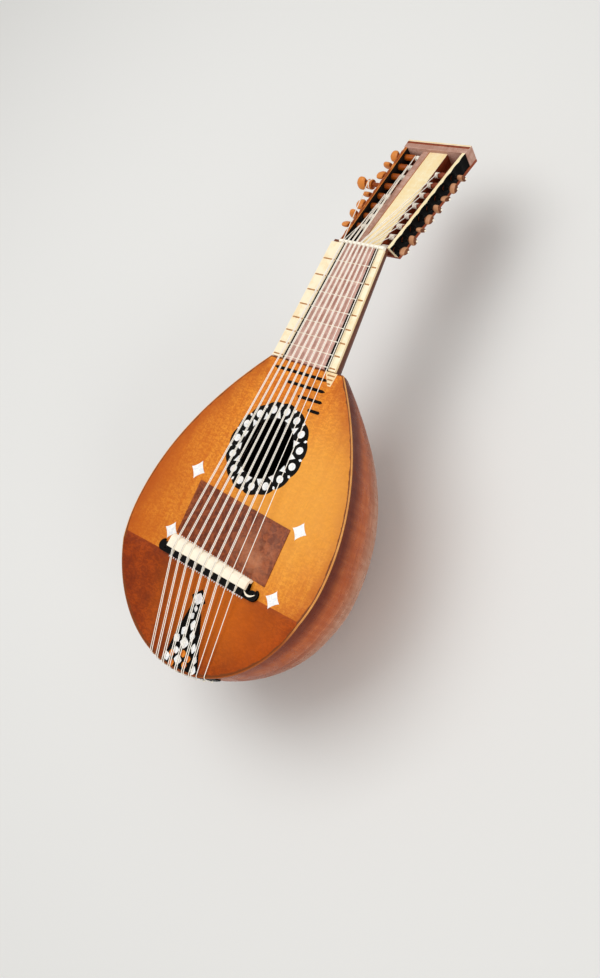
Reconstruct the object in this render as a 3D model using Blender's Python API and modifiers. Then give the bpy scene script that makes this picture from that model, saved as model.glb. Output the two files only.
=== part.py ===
"""A mandolone: a bowl-backed plucked instrument with a folded soundboard and a slotted pegbox.

It lies on its bowl with the soundboard up. X runs from the bass side to the treble side,
Y from the tail to the head and Z up. While it is built, the origin is where the bridge's
middle meets the top of the soundboard; at the end the empty named instrument carries
everything so that the origin lies under the middle of the whole, at its lowest point.
"""
import math

import bmesh
import bpy
import numpy as np
from mathutils import Vector

# Driving dimensions, in metres. Angles are in radians.
GAP = 0.0003                 # between pieces that touch

STRING_LENGTH = 0.560        # from the nut to the saddle
JOINT_Y = 0.350              # where the bowl ends and the neck begins
TAIL_LENGTH = 0.168          # from the bridge to the tail end of the bowl
BODY_HALF = 0.210            # half the width of the bowl at its widest
WIDEST_Y = 0.045             # where it is widest
SHOULDER_HALF = 0.076        # half its width where it meets the neck
BOWL_DEPTH = 0.232           # from the board to the bottom of the bowl
SHOULDER_DEPTH = 0.050       # depth of the bowl where it meets the neck
BOWL_POWER = 2.3             # how full the section is: 2 is an ellipse
SHOULDER_POWER = 3.0         # how late the depth falls off towards the neck
CANT_Y = -0.022              # where the board is folded
CANT_ANGLE = 0.155           # how far the lower part is folded down
TAIL_START = 0.06            # first station at the tail, as an angle round the end
RIBS = 11
RIB_WALL = 0.0020

BOARD_WALL = 0.0030
BOARD_OVERHANG = 0.0015
HOLE_Y = 0.203
HOLE_RADIUS = 0.050
ROSETTE_RADIUS = 0.079
ROSETTE_RECESS = 0.0014
ROSETTE_PROUD = 0.0002
ROUND_SIDES = 48

PLATE_SIZE = (0.222, 0.093, 0.0009)     # plate between the hole and the bridge
PLATE_CENTRE = (0.010, 0.0615)
PLATE_TURN = math.radians(-5.0)

INLAY_TOP_Y = -0.047
INLAY_END_Y = -0.157
INLAY_TOP_X = 0.004
INLAY_END_X = 0.016
INLAY_TOP_HALF = 0.004
INLAY_END_HALF = 0.036
INLAY_THICK = 0.0005

BRIDGE_Y = -0.0032
BRIDGE_TURN = math.radians(-2.8)
BRIDGE_NARROWS = 0.090       # where each arm begins to narrow, keeping its tail edge straight
BRIDGE_ARM = 0.104           # end of the straight part
BRIDGE_CURL = 0.0085         # radius of the curl at each end, towards the hole
BRIDGE_CURL_TURN = math.radians(150)
BRIDGE_DEEP = 0.0285
BRIDGE_ARM_DEEP = 0.0052
BRIDGE_TIP = 0.0024
BRIDGE_HIGH = 0.0070
BRIDGE_TIP_HIGH = 0.0040
SADDLE_SIZE = (0.184, 0.0155, 0.0040)
SADDLE_FORWARD = 0.0047      # its middle, from the bridge's middle towards the hole
TOOTH_MARGIN = 0.0010        # from the teeth behind the saddle to the bridge's tail edge and ends
SLOT_CLEARANCE = 0.0012      # between a string and the teeth beside it
TOOTH_ROOT = 0.0010          # how far the teeth go into the bridge

BAR_SIZE = (0.007, 0.013)    # braces under the board: along the instrument and down
BAR_FROM_ROSETTE = 0.014
BAR_FROM_CANT = 0.012
BLOCK_LENGTH = 0.045
TAIL_BLOCK_STATIONS = 3

NECK_JOINT_HALF = 0.068
NECK_NUT_HALF = 0.0585
NECK_OFFSET = -0.0045        # the neck is a little wider on the bass side
NECK_JOINT_DEPTH = 0.042
NECK_NUT_DEPTH = 0.028
NECK_PAST_NUT = 0.0062
NECK_POWER = 2.2
FINGERBOARD_THICK = 0.0050
LAST_FRET = 12
FRET_WIDE = 0.0018
FRET_HIGH = 0.0010
BOARD_FRET_HIGH = 0.0012
BOARD_FRET_LENGTHS = (0.116, 0.083, 0.052, 0.025)
BOARD_FRET_END = 0.055       # treble end of the first of them
BOARD_FRET_STEP = 0.0042     # each further one ends this much nearer the edge
NUT_HALF = 0.046
NUT_THICK = 0.0052
NUT_RISE = 0.0030            # above the fingerboard

HEAD_ANGLE = math.radians(15)
HEAD_LENGTH = 0.236
HEAD_NUT_HALF = 0.0535
HEAD_END_HALF = 0.0640
HEAD_DEPTH = 0.0270
HEAD_ABOVE_BOARD = 0.001     # front of the head at the nut
CHEEK_WALL = 0.0070
SPINE_HALF = 0.0250
SPINE_RECESS = 0.0060
BACK_WALL = 0.0050
END_WALL = 0.0180

PEGS_PER_SIDE = 8
BASS_FIRST_PEG = 0.0440      # first peg on the bass side, from the neck's end
BASS_SPACING = 0.0232
TREBLE_FIRST_PEG = 0.0095
TREBLE_SPACING = 0.0236
LONG_PEG = 4                 # place on the bass side, counted from 0, of the outboard peg
PEG_DROP = 0.0120            # its axis, below the front of the head
PEG_RADIUS = 0.0040
PEG_CLEARANCE = 0.00006
PEG_SOCKET = 0.0090          # how far it goes into the spine
PEG_SIDES = 10
SOCKET_SIDES = 14
WINDING_RADIUS = 0.0050      # with the string on it
WINDING_MARGIN = 0.0015      # from the walls of the slot
FIRST_STRING_X = 0.0395      # where the first peg's string comes on to it
LAST_STRING_X = 0.0335
COLLAR_RADIUS = 0.0054
COLLAR_LONG = 0.0045
SHANK_RADIUS = 0.0027
SHANK_LONG = 0.0060
HANDLE_LONG = 0.0130
HANDLE_WIDE = 0.0084         # half
HANDLE_THIN = 0.0032         # half
HANDLE_SHOULDERS = (0.25, 0.70)         # where it is widest, as shares of its length
HANDLE_END = (0.45, 0.70)    # its width and thickness at the end, as shares
COLLAR_TAPER = 0.8
PIP_RADIUS = 0.0017
PIP_LONG = 0.0024
STEP_LONG = 0.0010           # length of each step in thickness
PEG_TURN_STEP = math.radians(67)
OUTBOARD_AT = 0.0260         # the lowest string winds on its long peg this far outside the cheek
OUTBOARD_HALF = 0.0040
DRUM_RADIUS = 0.0090         # the long peg's drum, with the string on it
LONG_HANDLE = 1.35           # size of the long peg's handle against the others

COURSES = 9
SINGLE_COURSES = 2           # the highest ones
NUT_BAND = 0.036             # half the width of all the courses at the nut
SADDLE_BAND = 0.075
TAIL_BAND = 0.062
TAIL_SHIFT = 0.010           # the courses run a little to the treble side at the tail
PAIR_AT_NUT = 0.0010         # half the space between the two strings of a course
PAIR_AT_SADDLE = 0.0013
BASS_STRING_RADIUS = 0.00070
TREBLE_STRING_RADIUS = 0.00050
TAIL_RISE = 0.0009           # strings over the board's tail edge
CORNER_ROOM = 1.0            # more room for a string where it turns on the clasp

CLASP_HALF = 0.084
CLASP_HEIGHT = 0.034
CLASP_WALL = 0.0018
PIN_RADIUS = 0.0011
PIN_OUT = 0.0045
PIN_SIDES = 8
PIN_BELOW_RIM = 0.0150

# Worked out from them
TAIL_Y = -TAIL_LENGTH
TAIL_REACH = WIDEST_Y - TAIL_Y
RIM_Z = -BOARD_WALL - GAP
SADDLE_Y = BRIDGE_Y + SADDLE_FORWARD
NUT_Y = SADDLE_Y + STRING_LENGTH
NECK_START_Y = JOINT_Y + GAP
NECK_END_Y = NUT_Y + NECK_PAST_NUT
SADDLE_BOTTOM_Z = GAP + BRIDGE_HIGH + GAP
SADDLE_TOP_Z = SADDLE_BOTTOM_Z + SADDLE_SIZE[2]
NUT_TOP_Z = FINGERBOARD_THICK + NUT_RISE
HEAD_INNER_END = HEAD_LENGTH - END_WALL - GAP


def clear_scene():
    """Remove every object, so that the model starts from nothing."""
    for old in list(bpy.data.objects):
        bpy.data.objects.remove(old, do_unlink=True)


def new_collection(name):
    """A collection linked to the scene."""
    collection = bpy.data.collections.new(name)
    bpy.context.scene.collection.children.link(collection)
    return collection


def finish(name, colour, roughness, metallic=0.0):
    """A plain material."""
    material = bpy.data.materials.new(name)
    material.use_nodes = True
    shader = material.node_tree.nodes["Principled BSDF"]
    shader.inputs["Base Color"].default_value = (*colour, 1.0)
    shader.inputs["Roughness"].default_value = roughness
    shader.inputs["Metallic"].default_value = metallic
    return material


clear_scene()
PARTS = new_collection("mandolone")
CUTTERS = new_collection("cutters")
INSTRUMENT = bpy.data.objects.new("instrument", None)
HEAD = bpy.data.objects.new("head", None)
BRIDGE_SEAT = bpy.data.objects.new("bridge_seat", None)
for empty in (INSTRUMENT, HEAD, BRIDGE_SEAT):
    PARTS.objects.link(empty)
for empty in (HEAD, BRIDGE_SEAT):
    empty.parent = INSTRUMENT
HEAD.location = (0, NECK_END_Y, HEAD_ABOVE_BOARD)
HEAD.rotation_euler = (-HEAD_ANGLE, 0, 0)
BRIDGE_SEAT.location = (0, BRIDGE_Y, 0)
BRIDGE_SEAT.rotation_euler = (0, 0, BRIDGE_TURN)

SPRUCE = finish("spruce", (0.72, 0.36, 0.09), 0.40)
MAPLE = finish("maple", (0.30, 0.12, 0.05), 0.35)
WALNUT = finish("walnut", (0.13, 0.05, 0.025), 0.40)
EBONY = finish("ebony", (0.015, 0.012, 0.012), 0.35)
BONE = finish("bone", (0.86, 0.80, 0.66), 0.35)
SHELL = finish("tortoiseshell", (0.25, 0.06, 0.025), 0.20)
BOXWOOD = finish("boxwood", (0.42, 0.20, 0.08), 0.45)
PLAIN_WOOD = finish("plain_wood", (0.62, 0.45, 0.27), 0.60)
GUT = finish("gut", (0.88, 0.82, 0.66), 0.40)


def place(name, data, material, parent=None, collection=None):
    """An object in the model, carried by the instrument unless another parent is given."""
    obj = bpy.data.objects.new(name, data)
    (collection or PARTS).objects.link(obj)
    obj.parent = parent or INSTRUMENT
    if material:
        data.materials.append(material)
    return obj


def mesh_from(bm, name, sharp=math.radians(35)):
    """A mesh with its faces pointing out, smooth but for its sharp edges."""
    bmesh.ops.recalc_face_normals(bm, faces=bm.faces)
    mesh = bpy.data.meshes.new(name)
    bm.to_mesh(mesh)
    bm.free()
    mesh.shade_smooth()
    mesh.set_sharp_from_angle(angle=sharp)
    return mesh


def loft(name, rings, material, parent=None):
    """A closed solid through rings of points, an array of rings by points by three."""
    rings = np.asarray(rings, dtype=float)
    count, size = rings.shape[:2]
    bm = bmesh.new()
    verts = [[bm.verts.new(point) for point in ring] for ring in rings]
    for low, high in zip(verts, verts[1:]):
        for i in range(size):
            j = (i + 1) % size
            bm.faces.new((low[i], low[j], high[j], high[i]))
    bm.faces.new(verts[0][::-1])
    bm.faces.new(verts[count - 1])
    return place(name, mesh_from(bm, name), material, parent)


def box(name, low, high, material, parent=None, round_edges=0.0):
    """A block between two corners, with its edges rounded if asked."""
    low, high = Vector(low), Vector(high)
    bm = bmesh.new()
    bmesh.ops.create_cube(bm, size=1.0)
    bmesh.ops.scale(bm, vec=high - low, verts=bm.verts)
    obj = place(name, mesh_from(bm, name), material, parent)
    obj.location = (low + high) / 2
    if round_edges:
        bevel = obj.modifiers.new("rounded", "BEVEL")
        bevel.width = round_edges
        bevel.segments = 2
    return obj


def cylinders(name, centres, axis, radius, length, sides, parent=None):
    """A hidden cutter of one or more cylinders along one axis."""
    bm = bmesh.new()
    turn = Vector((0, 0, 1)).rotation_difference(Vector(axis)).to_matrix()
    for centre in centres:
        made = bmesh.ops.create_cone(bm, cap_ends=True, segments=sides, radius1=radius,
                                     radius2=radius, depth=length)["verts"]
        bmesh.ops.rotate(bm, cent=(0, 0, 0), matrix=turn, verts=made)
        bmesh.ops.translate(bm, vec=centre, verts=made)
    return hidden(name, bm, parent)


def hidden(name, bm, parent=None):
    """An object that only shapes others."""
    obj = place(name, mesh_from(bm, name), None, parent, CUTTERS)
    obj.hide_render = True
    obj.display_type = "WIRE"
    return obj


def combine(obj, other, operation):
    """Cut or join one object with another."""
    boolean = obj.modifiers.new(operation.lower(), "BOOLEAN")
    boolean.operation = operation
    boolean.solver = "EXACT"
    boolean.object = other


def shell_line(grow=0.0):
    """Stations along the bowl: place, half width and depth, all moved out by grow.

    The tail is a quarter ellipse; from the widest place to the neck the half width falls
    with the square of the way, and the depth with a higher power, so it stays deep for longer.
    """
    fold = math.acos((WIDEST_Y - CANT_Y) / TAIL_REACH)
    angles = np.sort(np.append(np.linspace(TAIL_START, math.pi / 2, 9), fold))
    way = np.linspace(0, 1, 9)[1:]
    y = np.append(WIDEST_Y - (TAIL_REACH + grow) * np.cos(angles), WIDEST_Y + way * (JOINT_Y - WIDEST_Y))
    wide = np.append(BODY_HALF * np.sin(angles), BODY_HALF - (BODY_HALF - SHOULDER_HALF) * way ** 2)
    deep = np.append(BOWL_DEPTH * np.sin(angles),
                     BOWL_DEPTH - (BOWL_DEPTH - SHOULDER_DEPTH) * way ** SHOULDER_POWER)
    return y, wide + grow, deep + grow


def fold_drop(y):
    """How far the board lies below its upper part, past the fold."""
    return np.maximum(0, CANT_Y - np.asarray(y)) * math.tan(CANT_ANGLE)


def section(wide, deep, angle, power):
    """A point on a full half-round section; the angle runs from the treble edge to the bass edge."""
    x = wide * np.sign(np.cos(angle)) * np.abs(np.cos(angle)) ** (2 / power)
    return x, -deep * np.abs(np.sin(angle)) ** (2 / power)


def tail_face(x, below, grow=0.0):
    """The place along Y of the bowl's tail surface, at x and a depth below the rim."""
    wide = (np.abs(x) ** BOWL_POWER + (below * BODY_HALF / BOWL_DEPTH) ** BOWL_POWER) ** (1 / BOWL_POWER)
    share = np.clip(wide / (BODY_HALF + grow), 0, 1)
    return WIDEST_Y - (TAIL_REACH + grow) * np.sqrt(1 - share ** 2)


def make_ribs():
    """The bowl's staves, bent side by side from the tail to the neck."""
    outer, inner = shell_line(0), shell_line(-RIB_WALL)
    edges = np.linspace(0, math.pi, RIBS + 1)
    for k in range(RIBS):
        rings = []
        for y, wide, deep, y_in, wide_in, deep_in in zip(*outer, *inner):
            seam = GAP / 2 / wide
            low = edges[k] + (seam if k else 0)
            high = edges[k + 1] - (seam if k < RIBS - 1 else 0)
            ring = []
            for angle in (low, (low + high) / 2, high):
                x, z = section(wide, deep, angle, BOWL_POWER)
                ring.append((x, y, RIM_Z - fold_drop(y) + z))
            for angle in (high, (low + high) / 2, low):
                x, z = section(wide_in, deep_in, angle, BOWL_POWER)
                ring.append((x, y_in, RIM_Z - fold_drop(y_in) + z))
            rings.append(ring)
        loft(f"rib_{k + 1:02d}", rings, MAPLE)


def make_soundboard():
    """The folded board with its hole, and the ring let in round it."""
    y, wide, _ = shell_line(BOARD_OVERHANG)
    top = -fold_drop(y)
    rings = [[(w, a, t), (-w, a, t), (-w, a, t - BOARD_WALL), (w, a, t - BOARD_WALL)]
             for a, w, t in zip(y, wide, top)]
    board = loft("soundboard", rings, SPRUCE)
    centre = [(0, HOLE_Y, 0)]
    combine(board, cylinders("hole_cutter", centre, (0, 0, 1), HOLE_RADIUS, 6 * BOARD_WALL, ROUND_SIDES),
            "DIFFERENCE")
    combine(board, cylinders("recess_cutter", centre, (0, 0, 1), ROSETTE_RADIUS + GAP,
                             2 * ROSETTE_RECESS, ROUND_SIDES), "DIFFERENCE")
    high, low = ROSETTE_PROUD, GAP - ROSETTE_RECESS
    profile = [(ROSETTE_RADIUS, high), (ROSETTE_RADIUS, low), (HOLE_RADIUS, low), (HOLE_RADIUS, high)]
    mesh = bpy.data.meshes.new("rosette_ring")
    mesh.from_pydata([(r, 0, z) for r, z in profile], [(0, 1), (1, 2), (2, 3), (3, 0)], [])
    ring = place("rosette_ring", mesh, EBONY)
    ring.location = (0, HOLE_Y, 0)
    screw = ring.modifiers.new("turned", "SCREW")
    screw.steps = screw.render_steps = ROUND_SIDES
    screw.use_merge_vertices = True
    screw.merge_threshold = 0.00001


def make_board_trim():
    """The plate below the hole and the wedge inlay at the tail."""
    wide, long, thick = PLATE_SIZE
    plate = box("pickguard", (-wide / 2, -long / 2, GAP), (wide / 2, long / 2, GAP + thick), SHELL)
    plate.location = (*PLATE_CENTRE, GAP + thick / 2)
    plate.rotation_euler = (0, 0, PLATE_TURN)
    rings = []
    for y, x, half in ((INLAY_TOP_Y, INLAY_TOP_X, INLAY_TOP_HALF), (INLAY_END_Y, INLAY_END_X, INLAY_END_HALF)):
        low = GAP - fold_drop(y)
        high = low + INLAY_THICK
        rings.append([(x + half, y, high), (x - half, y, high), (x - half, y, low), (x + half, y, low)])
    loft("tail_inlay", rings, EBONY)


def bridge_arm():
    """Stations from the middle to one end: place, way to the hole, turn, half depth and height."""
    rows = []
    for x in (0, BRIDGE_NARROWS / 2, *np.linspace(BRIDGE_NARROWS, BRIDGE_ARM, 6)):
        way = max(0, (x - BRIDGE_NARROWS) / (BRIDGE_ARM - BRIDGE_NARROWS))
        half = (BRIDGE_DEEP + (BRIDGE_ARM_DEEP - BRIDGE_DEEP) * way * way * (3 - 2 * way)) / 2
        rows.append((x, half - BRIDGE_DEEP / 2, 0, half, BRIDGE_HIGH))
    start = rows[-1][1]
    for share in np.linspace(0, 1, 8)[1:]:
        turn = share * BRIDGE_CURL_TURN
        rows.append((BRIDGE_ARM + BRIDGE_CURL * math.sin(turn), start + BRIDGE_CURL * (1 - math.cos(turn)),
                     -turn, (BRIDGE_ARM_DEEP + (BRIDGE_TIP - BRIDGE_ARM_DEEP) * share) / 2,
                     BRIDGE_HIGH + (BRIDGE_TIP_HIGH - BRIDGE_HIGH) * share))
    return rows


def make_bridge():
    """The bridge with its curled ends, the saddle plate on it and the teeth behind the saddle."""
    arm = bridge_arm()
    rings = []
    for x, y, turn, half, high in [(-x, y, -turn, half, high) for x, y, turn, half, high in arm[:0:-1]] + arm:
        side_x, side_y = half * math.sin(turn), half * math.cos(turn)
        rings.append([(x + side_x, y + side_y, GAP), (x + side_x, y + side_y, GAP + high),
                      (x - side_x, y - side_y, GAP + high), (x - side_x, y - side_y, GAP)])
    bridge = loft("bridge", rings, EBONY, BRIDGE_SEAT)
    long, wide, _ = SADDLE_SIZE
    box("bridge_saddle", (-long / 2, SADDLE_FORWARD - wide / 2, SADDLE_BOTTOM_Z),
        (long / 2, SADDLE_FORWARD + wide / 2, SADDLE_TOP_Z), BONE, BRIDGE_SEAT, 0.0008)

    slot = PAIR_AT_SADDLE + BASS_STRING_RADIUS + SLOT_CLEARANCE
    tail, front = TOOTH_MARGIN - BRIDGE_DEEP / 2, SADDLE_FORWARD - wide / 2 - GAP
    way = (front - tail) / 2 / (TAIL_LENGTH + BRIDGE_Y + front)
    aside = TAIL_SHIFT * way + (front + tail) / 2 * math.sin(BRIDGE_TURN)
    middles = [course_x(number, SADDLE_BAND + (TAIL_BAND - SADDLE_BAND) * way) + aside
               for number in range(COURSES)]
    lows = [TOOTH_MARGIN - BRIDGE_NARROWS] + [x + slot for x in middles]
    highs = [x - slot for x in middles] + [BRIDGE_NARROWS - TOOTH_MARGIN]
    low_z, high_z = GAP + BRIDGE_HIGH - TOOTH_ROOT, SADDLE_TOP_Z
    bm = bmesh.new()
    for low, high in zip(lows, highs):
        made = bmesh.ops.create_cube(bm, size=1.0)["verts"]
        bmesh.ops.scale(bm, vec=(high - low, front - tail, high_z - low_z), verts=made)
        bmesh.ops.translate(bm, vec=((low + high) / 2, (front + tail) / 2, (low_z + high_z) / 2), verts=made)
    combine(bridge, hidden("bridge_teeth", bm, BRIDGE_SEAT), "UNION")


def inner_half(y, below):
    """Half the room inside the bowl at y, that far below the rim."""
    stations, wide, deep = shell_line(-RIB_WALL)
    w, d = np.interp(y, stations, wide), np.interp(y, stations, deep)
    return w * (1 - min(1, below / d) ** BOWL_POWER) ** (1 / BOWL_POWER)


def make_inside():
    """The braces under the board and the blocks at both ends of the bowl."""
    along, down = BAR_SIZE
    places = (HOLE_Y + ROSETTE_RADIUS + BAR_FROM_ROSETTE, HOLE_Y - ROSETTE_RADIUS - BAR_FROM_ROSETTE,
              CANT_Y + BAR_FROM_CANT)
    for name, y in zip(("upper", "middle", "lower"), places):
        half = min(inner_half(y + side * along / 2, down) for side in (-1, 1)) - 2 * GAP
        box(f"soundboard_bar_{name}", (-half, y - along / 2, RIM_Z - down),
            (half, y + along / 2, RIM_Z), PLAIN_WOOD)
    angles = np.linspace(0, math.pi, 9)
    half, deep = SHOULDER_HALF - RIB_WALL - GAP, SHOULDER_DEPTH - RIB_WALL - GAP
    x, z = section(half, deep, angles, BOWL_POWER)
    loft("neck_block", [np.stack([x, x * 0 + y, z + RIM_Z], 1) for y in (JOINT_Y - BLOCK_LENGTH, JOINT_Y)],
         PLAIN_WOOD)
    rings = []
    for y, half, deep in list(zip(*shell_line(-RIB_WALL - 2 * GAP)))[:TAIL_BLOCK_STATIONS]:
        x, z = section(half, deep, angles, BOWL_POWER)
        rings.append(np.stack([x, x * 0 + y, z + RIM_Z - fold_drop(y)], 1))
    loft("tail_block", rings, PLAIN_WOOD)


def neck_half(y):
    """Half the width of the neck at y, from its own middle."""
    way = (y - NECK_START_Y) / (NECK_END_Y - NECK_START_Y)
    return NECK_JOINT_HALF + (NECK_NUT_HALF - NECK_JOINT_HALF) * way


def fret_y(number):
    """The place of a fret: each one shortens the string by the twelfth root of two."""
    return SADDLE_Y + STRING_LENGTH * 2 ** (-number / 12)


def make_neck():
    """The neck, the fingerboard with its frets, the nut and the frets on the soundboard."""
    angles = np.linspace(0, math.pi, 13)
    rings = []
    for y, deep in ((NECK_START_Y, NECK_JOINT_DEPTH), (NECK_END_Y, NECK_NUT_DEPTH)):
        x, z = section(neck_half(y), deep, angles, NECK_POWER)
        rings.append(np.stack([x + NECK_OFFSET, x * 0 + y, z], 1))
    loft("neck", rings, WALNUT)

    rings = []
    for y in (NECK_START_Y, NUT_Y - GAP):
        right, left = NECK_OFFSET + neck_half(y), NECK_OFFSET - neck_half(y)
        rings.append([(right, y, FINGERBOARD_THICK), (left, y, FINGERBOARD_THICK),
                      (left, y, GAP), (right, y, GAP)])
    board = loft("fingerboard", rings, EBONY)
    frets = [n for n in range(1, LAST_FRET + 1) if fret_y(n) - FRET_WIDE / 2 > NECK_START_Y + GAP]
    bm = bmesh.new()
    for number in frets:
        y = fret_y(number)
        made = bmesh.ops.create_cube(bm, size=1.0)["verts"]
        size = (2 * neck_half(y) - 4 * GAP, FRET_WIDE, FRET_HIGH + GAP)
        bmesh.ops.scale(bm, vec=size, verts=made)
        middle = FINGERBOARD_THICK + (FRET_HIGH - GAP) / 2
        bmesh.ops.translate(bm, vec=(NECK_OFFSET, y, middle), verts=made)
    combine(board, hidden("neck_frets", bm), "UNION")

    box("nut", (-NUT_HALF, NUT_Y, GAP), (NUT_HALF, NUT_Y + NUT_THICK, NUT_TOP_Z), BONE, None, 0.0008)
    rest = [n for n in range(1, LAST_FRET + 1) if n not in frets]
    for i, (number, long) in enumerate(zip(rest, BOARD_FRET_LENGTHS)):
        end = BOARD_FRET_END + i * BOARD_FRET_STEP
        y = min(fret_y(number), JOINT_Y - FRET_WIDE)
        box(f"board_fret_{number:02d}", (end - long, y - FRET_WIDE / 2, GAP),
            (end, y + FRET_WIDE / 2, GAP + BOARD_FRET_HIGH), EBONY)


def head_half(s):
    """Half the width of the head, that far along it."""
    return HEAD_NUT_HALF + (HEAD_END_HALF - HEAD_NUT_HALF) * s / HEAD_LENGTH


def head_start(n):
    """Where the head's pieces begin at height n, so that they meet the end of the neck."""
    return (GAP - n * math.sin(HEAD_ANGLE)) / math.cos(HEAD_ANGLE)


def head_bar(name, inner, outer, high, low, end, material):
    """A bar along the head; inner and outer give its sides as functions of the way along."""
    rings = []
    for starts in (True, False):
        top, bottom = (head_start(high), head_start(low)) if starts else (end, end)
        rings.append([(inner(top), top, high), (outer(top), top, high),
                      (outer(bottom), bottom, low), (inner(bottom), bottom, low)])
    return loft(name, rings, material, HEAD)


def peg_places(side):
    """The pegs of one side, along the head."""
    first, spacing = (TREBLE_FIRST_PEG, TREBLE_SPACING) if side > 0 else (BASS_FIRST_PEG, BASS_SPACING)
    return [first + i * spacing for i in range(PEGS_PER_SIDE)]


def is_long(side, i):
    """The lowest string has a longer peg and is wound outside the pegbox."""
    return side < 0 and i == LONG_PEG


def string_x(side, i):
    """Where a string comes on to its peg, from the middle of the head."""
    if is_long(side, i):
        return side * (head_half(peg_places(side)[i]) + OUTBOARD_AT)
    return side * (FIRST_STRING_X + (LAST_STRING_X - FIRST_STRING_X) * i / (PEGS_PER_SIDE - 1))


def make_pegbox():
    """Two cheeks, a spine with the pegs' sockets, a back and an end block round two slots."""
    hole = (PEG_RADIUS + PEG_CLEARANCE) / math.cos(math.pi / SOCKET_SIDES)
    spine = head_bar("pegbox_spine", lambda s: -SPINE_HALF, lambda s: SPINE_HALF, -SPINE_RECESS,
                     -HEAD_DEPTH, HEAD_INNER_END, BOXWOOD)
    for side, name in ((1, "treble"), (-1, "bass")):
        cheek = head_bar(f"pegbox_cheek_{name}", lambda s: side * (head_half(s) - CHEEK_WALL),
                         lambda s: side * head_half(s), 0, -HEAD_DEPTH, HEAD_INNER_END, WALNUT)
        centres = [(side * head_half(s), s, -PEG_DROP) for s in peg_places(side)]
        combine(cheek, cylinders(f"peg_holes_{name}", centres, (1, 0, 0), hole, 4 * CHEEK_WALL,
                                 SOCKET_SIDES, HEAD), "DIFFERENCE")
        sockets = [(side * SPINE_HALF, s, -PEG_DROP) for s in peg_places(side)]
        combine(spine, cylinders(f"peg_sockets_{name}", sockets, (1, 0, 0), hole, 2 * PEG_SOCKET,
                                 SOCKET_SIDES, HEAD), "DIFFERENCE")
    head_bar("pegbox_back", lambda s: -head_half(s), head_half, -HEAD_DEPTH - GAP,
             -HEAD_DEPTH - GAP - BACK_WALL, HEAD_LENGTH, WALNUT)
    rings = [[(half, s, 0), (-half, s, 0), (-half, s, -HEAD_DEPTH), (half, s, -HEAD_DEPTH)]
             for s, half in ((s, head_half(s)) for s in (HEAD_LENGTH - END_WALL, HEAD_LENGTH))]
    loft("pegbox_end_block", rings, BOXWOOD, HEAD)


def winding_radius(side, i):
    """Half the thickness of a peg where its string winds, with the string."""
    return DRUM_RADIUS if is_long(side, i) else WINDING_RADIUS


def wound_band(low, high, radius):
    """Stations of a stretch of shaft with the string wound on it."""
    return [(low, PEG_RADIUS, PEG_RADIUS), (low + STEP_LONG, radius, radius),
            (high - STEP_LONG, radius, radius), (high, PEG_RADIUS, PEG_RADIUS)]


def peg_profile(wall, long):
    """A peg's stations from its tip outwards: place from the cheek's face, width and thickness."""
    stations = [(SPINE_HALF - PEG_SOCKET + GAP - wall, PEG_RADIUS, PEG_RADIUS)]
    if not long:
        stations += wound_band(SPINE_HALF + WINDING_MARGIN - wall, -CHEEK_WALL - WINDING_MARGIN,
                               WINDING_RADIUS)
    at = GAP + COLLAR_LONG
    stations += [(GAP, PEG_RADIUS, PEG_RADIUS), (GAP + STEP_LONG / 2, COLLAR_RADIUS, COLLAR_RADIUS),
                 (at, COLLAR_TAPER * COLLAR_RADIUS, COLLAR_TAPER * COLLAR_RADIUS)]
    size = 1.0
    if long:
        stations += [(at + STEP_LONG, PEG_RADIUS, PEG_RADIUS)]
        stations += wound_band(OUTBOARD_AT - OUTBOARD_HALF, OUTBOARD_AT + OUTBOARD_HALF, DRUM_RADIUS)
        at, size = OUTBOARD_AT + OUTBOARD_HALF, LONG_HANDLE
    stations += [(at + STEP_LONG, SHANK_RADIUS, SHANK_RADIUS)]
    at += SHANK_LONG
    length, wide, thin = size * HANDLE_LONG, size * HANDLE_WIDE, size * HANDLE_THIN
    stations += [(at, SHANK_RADIUS, SHANK_RADIUS)]
    stations += [(at + share * length, wide, thin) for share in HANDLE_SHOULDERS]
    at += length
    stations += [(at, HANDLE_END[0] * wide, HANDLE_END[1] * thin),
                 (at + STEP_LONG / 2, PIP_RADIUS, PIP_RADIUS),
                 (at + PIP_LONG, PIP_RADIUS / 2, PIP_RADIUS / 2)]
    return stations


def make_peg(name, side, s, i):
    """A peg: shaft, the string wound on it, a collar, a flat handle and a pip at its end."""
    wall = head_half(s)
    stations = peg_profile(wall, is_long(side, i))
    turn = PEG_TURN_STEP * (i + (0 if side > 0 else 0.5))
    angles = np.arange(PEG_SIDES) * 2 * math.pi / PEG_SIDES
    rings = []
    for x, wide, thin in stations:
        a, b = wide * np.cos(angles), thin * np.sin(angles)
        rings.append(np.stack([a * 0 + x, a * math.cos(turn) - b * math.sin(turn),
                               a * math.sin(turn) + b * math.cos(turn)], 1))
    peg = loft(name, rings, BOXWOOD, HEAD)
    peg.location = (side * wall, s, -PEG_DROP)
    peg.rotation_euler = (0, 0, 0 if side > 0 else math.pi)


def make_pegs():
    """All the pegs, counted from the nut on each side."""
    for side, name in ((1, "treble"), (-1, "bass")):
        for i, s in enumerate(peg_places(side)):
            make_peg(f"peg_{name}_{i + 1}", side, s, i)


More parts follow.
